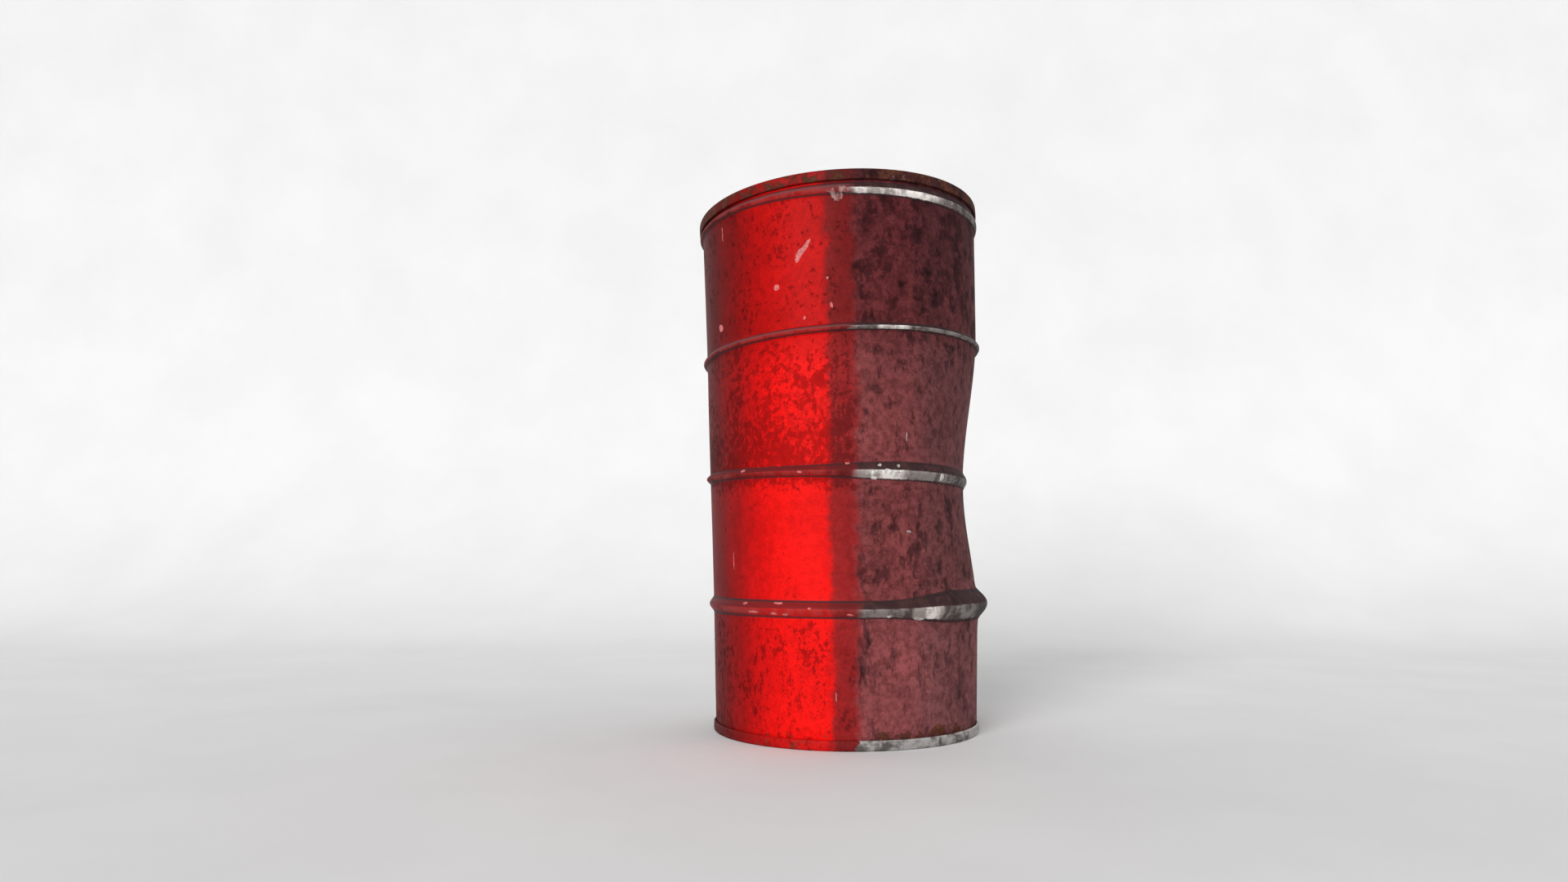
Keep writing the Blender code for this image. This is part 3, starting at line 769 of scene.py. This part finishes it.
# Parts of a hoop: its worn face, its upper slope and its foot
hoopGrain = write.swing(write.grain(place, *shellFinish["hoopGrain"]), shellFinish["hoopReach"])
edgeWear = write.plus(crest, hoopGrain)
wornFace = write.times(inRange(edgeWear, "wornCrest"), inRange(write.plus(slope, hoopGrain), "wornSlope"))
# Little bare steel in the red band, where the hoops show painted red light
wornFace = write.times(wornFace, write.mixValue(outsideRedLight, inRange(edgeWear, "wornInRed"), 1.0))
slopeGrain = write.plus(slope, write.times(hoopGrain, shares["slopeGrain"]))
upperSlope = write.times(inRange(crest, "slopeCrest"), inRange(slopeGrain, "slopeUp"))
foot = write.times(inRange(crest, "footFrom"), inRange(crest, "footTo"))
bare = write.most(wornFace, chipMask)

# Layers of colour: patches, hoops in painted red light, painted shade and dirt on the hoops, steel, smudges,
# weld, chips and rust
patched = write.tinted(paint, shellFinish["dirtShade"])
paint = write.blend(write.times(dirtMask, shares["dirt"]), paint, patched)
dirtGrain = write.grain(place, *shellFinish["dirtGrain"])
# Red band: painted sheen and shade on the hoops' upper slopes, painted shade on crests, painted red light on
# faces
hoopTop = write.blend(inRange(height, "highHoops"), shellFinish["lowRedHoopTop"], shellFinish["redHoopTop"])
onTop = write.times(upperSlope, write.mixValue(outsideRedLight, shares["redTop"], 0.0))
colour = write.blend(onTop, paint, hoopTop)
onCrest = write.times(inRange(crest, "crestShade"), write.mixValue(outsideRedLight, shares["redCrest"], 0.0))
colour = write.blend(onCrest, colour, write.tinted(colour, shellFinish["crestShade"]))
rubbed = write.times(inRange(crest, "rubbedCrest"), write.minus(1.0, upperSlope))
rubbed = write.times(rubbed, inRange(dirtGrain, "rubbed"))
colour = write.blend(write.times(rubbed, write.minus(1.0, outsideRedLight)), colour, shellFinish["redHoopFace"])
# Painted shade and dirt at the hoops' feet and on their upper slopes
colour = write.blend(write.times(foot, shares["foot"]), colour, shellFinish["hoopShadeAndDirt"])
dirt = write.blend(inRange(dirtGrain, "dryDirt"), shellFinish["hoopShadeAndDirt"], shellFinish["dryDirt"])
onSlope = write.times(write.times(upperSlope, outsideRedLight), inRange(dirtGrain, "slopeDirt"))
colour = write.blend(bare, write.blend(onSlope, colour, dirt), steel)
colour = write.blend(write.times(smudgeMask, shares["smudge"]), colour, shellFinish["smudge"])
weld = inRange(write.plus(aroundTurn, write.swing(dirtGrain, shellFinish["weldReach"])), "weld")
colour = write.blend(write.times(weld, shares["weld"]), colour, shellFinish["weld"])
paleChip = write.blend(wornFace, shellFinish["chipOutsideRedLight"], shellFinish["chipOnSteel"])
# Chips in the red band are pink from painted red light
chipColour = write.blend(outsideRedLight, shellFinish["chipInRed"], paleChip)
chipLight = inRange(write.grain(place, *shellFinish["chipGrain"]), "chip")
chipColour = write.blend(chipLight, write.tinted(chipColour, shellFinish["chipShade"]), chipColour)
colour = write.blend(write.times(chipMask, shares["chip"]), colour, chipColour)
lowRust = write.times(inRange(height, "lowRust"), shares["lowRust"])
rustAmount = write.plus(lowRust, write.times(outsideRedLight, shares["fadedRust"]))
rust, *rustLook = write.group(rustCoat, rustOutputs, Place=place, Amount=rustAmount)
write.put(shader.inputs["Base Color"], write.blend(rustLook[0], colour, rust))
write.put(shader.inputs["Specular IOR Level"], shellFinish["specular"])
finishSheet(write, shader, wornFace, bare, (paintRough, steelRough), paintBump, rustLook)

# The rims and heads: the same paint, worn to steel where the drum is rolled and set down
headFinish = {
    "dust": (0.260, 0.190, 0.165),
    "dustGrain": (16.0, 5.0, 0.6),
    "dustRange": (0.42, 0.66),
    "dustShare": 0.45,
    "panelTurn": 120.0,
    "panelHeight": 0.16,
    "panelWear": (0.45, 0.15),
    "footHeight": (0.30, 0.10),
    "steelLight": (0.42, 0.40, 0.385, 1),
    "steelDark": (0.11, 0.097, 0.090, 1),
    "rimGrain": (60.0, 6.0, 0.7),
    "rimReach": 1.3,
    "wornLevel": (1.20, 1.12, 0.35),  # in the painted red light, outside it at the top, outside it at the foot
    "wornEdge": 0.2,
    "rust": (0.40, 0.50, 0.30),  # panel, rim, foot
    "rimShade": (0.40, 0.45, 0.40),
    "rimShare": 0.6,
    "specular": 0.10,
}
headPaint, write, shader = newMaterial("wornHeadPaint")
place, turn, height = write.group(drumPlace, ["Straight", "Turn", "Height"])
rimWear = write.attribute("crest")
onPanel = write.fit(rimWear, *headFinish["panelWear"])
atFoot = write.fit(height, *headFinish["footHeight"])
paintInputs = {
    "Place": place,
    "Turn": write.mixValue(onPanel, turn, headFinish["panelTurn"]),
    "Height": write.mixValue(onPanel, height, headFinish["panelHeight"]),
}
paint, paintRough, paintBump, outsideRedLight = write.group(agedPaint, paintOutputs, **paintInputs)
steelTones = {"Light": headFinish["steelLight"], "Dark": headFinish["steelDark"]}
steel, steelRough = write.group(bareSteel, ["Colour", "Roughness"], Place=place, **steelTones)
rimGrain = write.swing(write.grain(place, *headFinish["rimGrain"]), headFinish["rimReach"])
onRed, onTop, onFoot = headFinish["wornLevel"]
wornLevel = write.mixValue(outsideRedLight, onRed, write.mixValue(atFoot, onTop, onFoot))
bare = write.fit(write.plus(rimWear, rimGrain), wornLevel, write.plus(wornLevel, headFinish["wornEdge"]))
onPanels, onRims, onFoot = headFinish["rust"]
rustAmount = write.mixValue(atFoot, write.mixValue(rimWear, onPanels, onRims), onFoot)
rust, *rustLook = write.group(rustCoat, rustOutputs, Place=place, Amount=rustAmount)
dusty = write.fit(write.grain(place, *headFinish["dustGrain"]), *headFinish["dustRange"])
dusty = write.times(dusty, write.times(onPanel, headFinish["dustShare"]))
paint = write.blend(dusty, paint, headFinish["dust"])
rimPaint = write.tinted(paint, headFinish["rimShade"])
colour = write.blend(bare, write.blend(write.times(rimWear, headFinish["rimShare"]), paint, rimPaint), steel)
write.put(shader.inputs["Base Color"], write.blend(rustLook[0], colour, rust))
write.put(shader.inputs["Specular IOR Level"], headFinish["specular"])
finishSheet(write, shader, bare, bare, (paintRough, steelRough), paintBump, rustLook)

# Zinc of the bungs and rubber of their rings
zincFinish = {
    "light": (0.46, 0.45, 0.42, 1),
    "dark": (0.20, 0.19, 0.175, 1),
    "rust": 0.42,
    "metallic": 0.9,
    "rustRoughness": 0.85,
    "scores": 0.25,
    "relief": 0.0002,
    "bump": 0.7,
}
dullZinc, write, shader = newMaterial("dullZinc")
place = write.add("ShaderNodeTexCoord", output="Object")
zincTones = {"Light": zincFinish["light"], "Dark": zincFinish["dark"]}
steelOutputs = ["Colour", "Roughness", "Height"]
steel, steelRough, steelHeight = write.group(bareSteel, steelOutputs, Place=place, **zincTones)
rust, rustMask, rustHeight = write.group(rustCoat, rustOutputs, Place=place, Amount=zincFinish["rust"])
metallic = write.minus(zincFinish["metallic"], write.times(rustMask, zincFinish["metallic"]))
relief = write.plus(write.times(steelHeight, zincFinish["scores"]), write.times(rustMask, rustHeight))
write.put(shader.inputs["Base Color"], write.blend(rustMask, steel, rust))
write.put(shader.inputs["Metallic"], metallic)
write.put(shader.inputs["Roughness"], write.mixValue(rustMask, steelRough, zincFinish["rustRoughness"]))
write.put(shader.inputs["Normal"], write.bump(write.times(relief, zincFinish["relief"]), zincFinish["bump"]))

rubberFinish = {
    "bloom": (90.0, 5.0, 0.6),
    "tones": [(0.35, (0.014, 0.014, 0.014)), (0.75, (0.060, 0.058, 0.055))],
    "roughness": (0.3, 0.7, 0.65, 0.9),
    "grain": (900.0, 2.0),
    "relief": 0.0001,
    "bump": 0.4,
}
blackRubber, write, shader = newMaterial("blackRubber")
place = write.add("ShaderNodeTexCoord", output="Object")
bloom = write.grain(place, *rubberFinish["bloom"])
relief = write.times(write.grain(place, *rubberFinish["grain"]), rubberFinish["relief"])
write.put(shader.inputs["Base Color"], write.ramp(bloom, rubberFinish["tones"]))
write.put(shader.inputs["Roughness"], write.fit(bloom, *rubberFinish["roughness"]))
write.put(shader.inputs["Normal"], write.bump(relief, rubberFinish["bump"]))
print("materials ready")


# Profiles shared by shell and heads
def fold(radius, height, size, start, end, up):
    steps = drum["foldSteps"]
    turns = [start + (end - start) * k / steps for k in range(steps + 1)]
    return [(radius + size * cos(angle), height + up * size * sin(angle)) for angle in turns]


def seamPlaces(wall, rim, height, up):
    pitch, sheet = drum["pitch"], drum["sheet"]
    flatten = cos(pi / 2 / drum["foldSteps"])
    return {
        "wall": wall,
        "innerHook": wall + pitch,
        "outerHook": wall + 2 * pitch,
        "rimCentre": rim - up * (sheet / 2 + 2 * pitch * flatten),
        "hookCentre": rim - up * (height - sheet / 2 - pitch * flatten),
        "rim": rim,
        "up": up,
    }


topFold = seamPlaces(drum["topRadius"] - drum["sheet"] / 2, drum["height"], drum["topSeam"], 1)
bottomFold = seamPlaces(drum["bottomRadius"] - drum["neck"] - drum["sheet"] / 2, 0.0, drum["bottomSeam"], -1)


def shellHook(seam):
    edge = [(seam["outerHook"], seam["hookCentre"])]
    return edge + fold(seam["innerHook"], seam["rimCentre"], drum["pitch"], 0, pi, seam["up"])


def headRim(seam):
    edge = [(seam["innerHook"], seam["rimCentre"])]
    under = fold(seam["outerHook"], seam["hookCentre"], drum["pitch"], pi, 2 * pi, seam["up"])
    over = fold(seam["innerHook"], seam["rimCentre"], 2 * drum["pitch"], 0, pi, seam["up"])
    return edge + under + over


def rows(high, low):
    count = max(2, round((high - low) / drum["rowPitch"]))
    heights = [high + (low - high) * k / count for k in range(1, count)]
    return [(wallRadius(height), height) for height in heights]


def rolled(ring):
    points = []
    for k in range(drum["rollSteps"] + 1):
        height = ring["middle"] + ring["width"] * (0.5 - k / drum["rollSteps"])
        points.append((wallRadius(height) + ring["proud"] * standOut(ring, height), height))
    return points


# The shell: one sheet from hook to hook
shellPoints = shellHook(topFold)
neckTop = drum["bottomSeam"] + drum["neckWidth"]
rings = [shoulder, upperHoop, middleHoop, lowerHoop]
lows = [ring["middle"] + ring["width"] / 2 for ring in rings[1:]] + [neckTop]
for ring, low in zip(rings, lows):
    shellPoints += rolled(ring) + rows(ring["middle"] - ring["width"] / 2, low)
shellPoints += [(wallRadius(neckTop), neckTop), (bottomFold["wall"], drum["bottomSeam"] + drum["neck"])]
shellPoints += shellHook(bottomFold)[::-1]
shell = toObject("dentedShell", spun(shellPoints, drum["around"]), shellPaint)
places = [vertex.co.copy() for vertex in shell.data.vertices]
keepStraight(shell.data, places)
crestLayer = shell.data.attributes.new("crest", "FLOAT", "POINT")
slopeLayer = shell.data.attributes.new("slope", "FLOAT", "POINT")
for index, place in enumerate(places):
    crestLayer.data[index].value = max(standOut(ring, place.z) ** ring["wornEdge"] for ring in rings)
    near = [ring for ring in rings if abs(place.z - ring["middle"]) < ring["width"] / 2]
    if near:
        slopeLayer.data[index].value = sin(2 * pi * (place.z - near[0]["middle"]) / near[0]["width"])
    shell.data.vertices[index].co = damaged(place) + baseShift
giveSheet(shell)
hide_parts("drum_shell")
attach(shell, "drum")
print("shell ready:", len(shell.data.polygons), "faces")


# The heads
def headPoints(seam, sink):
    up, corner = seam["up"], headSizes["corner"]
    panel = seam["rim"] - up * sink
    inner = seam["innerHook"] - 2 * drum["pitch"]
    step = inner - headSizes["stepInset"]
    points = headRim(seam)
    wallHigh = seam["rimCentre"]
    wallLow = panel + up * corner
    wallSteps, cornerSteps, ledgeSteps, riseSteps = (
        headSizes[key] for key in ("wallSteps", "cornerSteps", "ledgeSteps", "riseSteps")
    )
    points += [(inner, wallHigh + (wallLow - wallHigh) * k / wallSteps) for k in range(1, wallSteps)]
    for k in range(cornerSteps + 1):
        angle = k * pi / (2 * cornerSteps)
        points.append((inner - corner * (1 - cos(angle)), wallLow - up * corner * sin(angle)))
    ledge = inner - corner - step
    points += [(inner - corner - ledge * k / ledgeSteps, panel) for k in range(1, ledgeSteps + 1)]
    for k in range(1, riseSteps + 1):
        share = k / riseSteps
        rise = headSizes["stepRise"] * ease(share)
        points.append((step - headSizes["stepWidth"] * share, panel + up * rise))
    points += [(radius, panel + up * headSizes["stepRise"]) for radius in headSizes["panelRings"]]
    return points


def buildHead(name, seam, sink):
    head = toObject(name, spun(headPoints(seam, sink), drum["around"]), headPaint)
    giveSheet(head)
    applyModifiers(head)
    return head


def placeHead(head, place, node, seam):
    straightPlaces = [vertex.co.copy() for vertex in head.data.vertices]
    keepStraight(head.data, straightPlaces)
    wear = head.data.attributes.new("crest", "FLOAT", "POINT")
    for index, spot in enumerate(straightPlaces):
        depth = abs(spot.z - seam["rim"])
        outside = ease((spot.xy.length - seam["wall"]) / drum["pitch"])
        if depth < headSizes["rimDepth"]:
            wear.data[index].value = max(outside, 1 - ease(depth / headSizes["rimWear"]))
    head.data.transform(Matrix.Translation(baseShift) @ place)
    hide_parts(node)
    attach(head, "drum")


def bungRadii(bung):
    bore = bung["thread"] + bungFit["clearance"]
    neck = bore + bung["neckWall"]
    hole = neck + bungFit["gap"]
    return bore, neck, hole, hole + bung["seat"]


panelHeight = drum["height"] - headSizes["topSink"] + headSizes["stepRise"]
topHead = buildHead("topHead", topFold, headSizes["topSink"])
for bung in (largeBung, smallBung):
    bore, neck, hole, seat = bungRadii(bung)
    stand = Matrix.Rotation(bung["turn"], 4, "Z") @ Matrix.Translation((bung["fromCentre"], 0, panelHeight))
    high, slope, sheet = bungFit["bossHeight"], bungFit["bossSlope"], drum["sheet"]
    opening = seat + slope / 2
    around, inset, steps = bung["around"], bungFit["bossInset"], bungFit["bossSteps"]
    drillEdge = [(0, high / 3), (opening, high / 3), (opening, -high), (0, -high)]
    drill = toObject("opening", spun(drillEdge, around))
    drill.data.transform(stand)
    cutWith(topHead, drill)
    rise = [(hole, high), (seat - inset, high)]
    for k in range(1, steps + 1):
        rise.append((seat - inset + (slope + inset) * k / steps, high - (high + sheet / 3) * ease(k / steps)))
    boss = toObject("boss", spun(rise, around))
    boss.data.transform(stand)
    giveSheet(boss)
    applyModifiers(boss)
    cutWith(topHead, boss, "UNION")
placeHead(topHead, rimFrame(), "top_head", topFold)
topHead.data.set_sharp_from_angle(angle=meshing["sharpFrom"])
bottomHead = buildHead("bottomHead", bottomFold, headSizes["bottomSink"])
placeHead(bottomHead, Matrix(), "bottom_head", bottomFold)
print("heads ready:", len(topHead.data.polygons), "and", len(bottomHead.data.polygons), "faces")


# The bungs
def rounded(points, size=bungFit["neckEdge"], steps=3):
    done = []
    for before, corner, after in zip(points[-1:] + points[:-1], points, points[1:] + points[:1]):
        corner = Vector(corner)
        back, on = Vector(before) - corner, Vector(after) - corner
        start = corner + back.normalized() * min(size, back.length / 2)
        end = corner + on.normalized() * min(size, on.length / 2)
        for k in range(steps + 1):
            t = k / steps
            done.append(tuple(start * (1 - t) ** 2 + corner * 2 * t * (1 - t) + end * t ** 2))
    return done


def addThread(shape, radius, crest, low, high, bung):
    ridge = bmesh.new()
    pitch, around = bung["screwPitch"], bung["around"]
    turns = (high - low) / pitch - 1
    half = pitch * bungFit["ridgeHalf"]
    top = half * bungFit["ridgeFlat"]
    corners = [(radius, -half), (crest, -top), (crest, top), (radius, half)]
    line = [ridge.verts.new((r, 0, low + pitch / 2 + z)) for r, z in corners]
    for start, end in zip(line, line[1:] + line[:1]):
        ridge.edges.new((start, end))
    steps = int(turns * around)
    bmesh.ops.spin(
        ridge, geom=ridge.verts[:] + ridge.edges[:], cent=(0, 0, 0), axis=(0, 0, 1),
        dvec=(0, 0, pitch / around), angle=2 * pi * steps / around, steps=steps,
    )
    mesh = bpy.data.meshes.new("ridge")
    ends = [edge for edge in ridge.edges if edge.is_boundary]
    bmesh.ops.holes_fill(ridge, edges=ends, sides=len(corners))
    bmesh.ops.recalc_face_normals(ridge, faces=ridge.faces)
    ridge.to_mesh(mesh)
    ridge.free()
    shape.from_mesh(mesh)
    bpy.data.meshes.remove(mesh)


def closedRing(radii, low, high, around, size):
    inner, outer = radii
    return spun(rounded([(inner, high), (outer, high), (outer, low), (inner, low)], size), around, True)


def buildBung(bung):
    bore, neck, hole, seat = bungRadii(bung)
    name, around = bung["name"], bung["around"]
    gap, rubber = bungFit["gap"], bungFit["rubber"]
    stand = Matrix.Translation(baseShift) @ rimFrame() @ Matrix.Rotation(bung["turn"], 4, "Z")
    stand = stand @ Matrix.Translation((bung["fromCentre"], 0, panelHeight))
    rim = bungFit["bossHeight"] + drum["sheet"] / 2 + bungFit["aboveBoss"]
    under = bungFit["bossHeight"] - drum["sheet"] / 2 - gap
    ring = seat - drum["sheet"] / 2
    flangeTop = under - rubber - gap
    flangeLow = flangeTop - bungFit["flange"]
    root = bore + bungFit["root"]
    outline = [(root, rim), (neck, rim), (neck, flangeTop)]
    outline += [(ring, flangeTop), (ring, flangeLow), (root, flangeLow)]
    neckShape = spun(rounded(outline), around, True)
    addThread(neckShape, root + bungFit["sink"], bore, flangeLow, rim, bung)
    neckPiece = toObject(name + "BungNeck", neckShape, dullZinc)
    inner = bore - gap / 2
    washerLow = rim + gap
    washerTop = washerLow + bungFit["washer"]
    sealShape = closedRing((neck + gap, ring), under - rubber, under, around, bungFit["neckEdge"])
    seal = toObject(name + "NeckSeal", sealShape, blackRubber)
    washerShape = closedRing((inner, neck), washerLow, washerTop, around, bungFit["washerEdge"])
    washer = toObject(name + "PlugWasher", washerShape, blackRubber)
    seatHeight = washerTop + gap
    top, low = seatHeight + bung["cap"], seatHeight - bung["depth"]
    core = bung["thread"] - bungFit["core"]
    cup = bung["thread"] - bungFit["wall"]
    floor = low + bungFit["floor"]
    if bung is largeBung:
        outline = [(0.0, floor), (cup, floor), (cup, top), (neck, top)]
        outline += [(neck, seatHeight), (core, seatHeight), (core, low), (0.0, low)]
        edge = [(0.0, floor)] + rounded(outline, bungFit["plugEdge"])[4:-4] + [(0.0, low)]
        plugShape = spun(edge, around)
        for side in (-1, 1):
            box = bmesh.new()
            bmesh.ops.create_cube(box, size=1)
            ends = sorted((side * (cup + bungFit["wall"] / 2), side * (cup - bungFit["lugReach"])))
            lugTop, lugLow = top - bung["cap"] / 2, low + bungFit["floor"] / 2
            size = Vector((ends[1] - ends[0], bungFit["lugWidth"], lugTop - lugLow))
            middle = Vector(((ends[0] + ends[1]) / 2, 0, (lugTop + lugLow) / 2))
            bmesh.ops.scale(box, vec=size, verts=box.verts)
            bmesh.ops.bevel(
                box, geom=box.edges[:], offset=bungFit["lugEdge"], affect="EDGES",
                segments=3, profile=0.5, material=-1,
            )
            bmesh.ops.translate(box, vec=middle, verts=box.verts)
            lug = bpy.data.meshes.new("lug")
            box.to_mesh(lug)
            box.free()
            plugShape.from_mesh(lug)
            bpy.data.meshes.remove(lug)
        addThread(plugShape, core - bungFit["sink"], bung["thread"], low, seatHeight, bung)
        plug = toObject(name + "BungPlug", plugShape, dullZinc)
    else:
        outline = [(0.0, top), (neck, top), (neck, seatHeight), (core, seatHeight), (core, low), (0.0, low)]
        edge = [(0.0, top)] + rounded(outline, bungFit["plugEdge"])[4:-4] + [(0.0, low)]
        plug = toObject(name + "BungPlug", spun(edge, around), dullZinc)
        box = bmesh.new()
        bmesh.ops.create_cube(box, size=1)
        socket, deep = bungFit["socket"], bungFit["socketCut"]
        bmesh.ops.scale(box, vec=(socket, socket, deep), verts=box.verts)
        upright = [edge for edge in box.edges if abs(edge.verts[0].co.z - edge.verts[1].co.z) > deep / 2]
        bmesh.ops.bevel(
            box, geom=upright, offset=bungFit["socketEdge"], affect="EDGES",
            segments=4, profile=0.5, material=-1,
        )
        bmesh.ops.translate(box, vec=(0, 0, floor + deep / 2), verts=box.verts)
        cutWith(plug, toObject("socket", box))
        shape = bmesh.new()
        shape.from_mesh(plug.data)
        bmesh.ops.remove_doubles(shape, verts=shape.verts, dist=meshing["fineMerge"])
        bmesh.ops.dissolve_degenerate(shape, edges=shape.edges, dist=meshing["fineMerge"])
        addThread(shape, core - bungFit["sink"], bung["thread"], low, seatHeight, bung)
        shape.to_mesh(plug.data)
        shape.free()
    for item, node, body, slot in (
        (neckPiece, "_bung_flange", "drum", "zinc"),
        (seal, "_bung_flange_gasket", "drum", "rubber"),
        (washer, "_bung_plug_gasket", "_gasket", "rubber"),
        (plug, "_bung_plug", "_plug", "zinc"),
    ):
        item.data.transform(stand)
        item.data.set_sharp_from_angle(angle=meshing["sharpFrom"])
        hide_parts(name + node)
        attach(item, name + body if body[0] == "_" else body)


buildBung(largeBung)
buildBung(smallBung)
print("bungs ready")

# Floor, backdrop, lamps and camera
studio = {
    "floor": (0.80, 0.80, 0.80),
    "floorDark": (0.76, 0.76, 0.76),
    "dust": (3.0, 4.0),
    "floorRoughness": 0.85,
    "floorSpecular": 0.10,
    "lamps": [  # name, degrees round from the camera, height in degrees, softness in degrees, strength
        ("keyLamp", -26, 20, 30, 2.42), ("backLamp", 150, 42, 50, 1.0), ("sideLamp", 80, 25, 60, 0.35),
    ],
    "world": 0.345,
    "backdrop": 0.80,  # what the camera and gloss see where there is no wall
    "floorSize": 16.0,
    "wall": 2.6,
    "wallHeight": 8.0,
    "cove": 1.2,
    "coveSteps": 16,
    "lampAway": 3,
    "lampHeight": 2,
}
floorMesh = bmesh.new()
bmesh.ops.create_grid(floorMesh, x_segments=1, y_segments=1, size=studio["floorSize"])
backEdge = [edge for edge in floorMesh.edges if all(vertex.co.y > 0 for vertex in edge.verts)]
for vertex in backEdge[0].verts:
    vertex.co.y = studio["wall"]
raised = bmesh.ops.extrude_edge_only(floorMesh, edges=backEdge)["geom"]
raisedVerts = [item for item in raised if isinstance(item, bmesh.types.BMVert)]
bmesh.ops.translate(floorMesh, vec=(0, 0, studio["wallHeight"]), verts=raisedVerts)
cove = [edge for edge in floorMesh.edges if all(v.co.y > 0 and v.co.z < 1 for v in edge.verts)]
bmesh.ops.bevel(
    floorMesh, geom=cove, offset=studio["cove"], affect="EDGES",
    segments=studio["coveSteps"], profile=0.5, material=-1,
)
paleFloor, write, shader = newMaterial("paleFloor")
dust = write.grain(write.add("ShaderNodeTexCoord", output="Object"), *studio["dust"])
write.put(shader.inputs["Base Color"], write.ramp(dust, [(0.3, studio["floorDark"]), (0.7, studio["floor"])]))
write.put(shader.inputs["Roughness"], studio["floorRoughness"])
write.put(shader.inputs["Specular IOR Level"], studio["floorSpecular"])
floor = toObject("studioFloor", floorMesh, paleFloor)

for name, aside, up, soft, strength in studio["lamps"]:
    lamp = bpy.data.lights.new(name, "SUN")
    lamp.angle = radians(soft)
    lamp.energy = strength
    item = bpy.data.objects.new(name, lamp)
    item.rotation_euler = Euler((radians(90 - up), 0, radians(aside)))
    away = studio["lampAway"]
    item.location = (away * sin(radians(aside)), -away * cos(radians(aside)), studio["lampHeight"])
    bpy.context.scene.collection.objects.link(item)
world = bpy.data.worlds.new("softRoom")
world.use_nodes = True
write = nodeWriter(world.node_tree)
background = world.node_tree.nodes["Background"]
background.inputs["Color"].default_value = (1, 1, 1, 1)
rays = write.tree.nodes.new("ShaderNodeLightPath").outputs
seen = write.most(rays["Is Camera Ray"], rays["Is Glossy Ray"])
write.put(background.inputs["Strength"], write.mixValue(seen, studio["world"], studio["backdrop"]))
bpy.context.scene.world = world

view = {"place": (-0.0972, -1.8557, 0.2973), "pitch": 95.90, "lens": 24.45}
camera = bpy.data.cameras.new("photoCamera")
camera.sensor_width = 36
camera.lens = view["lens"]
camera.clip_start = 0.01
cameraObject = bpy.data.objects.new("photoCamera", camera)
cameraObject.location = view["place"]
cameraObject.rotation_euler = Euler((radians(view["pitch"]), 0, 0))
bpy.context.scene.collection.objects.link(cameraObject)
bpy.context.scene.camera = cameraObject
bpy.context.scene.view_settings.view_transform = "Standard"
print("studio ready")

bpy.context.view_layer.update()
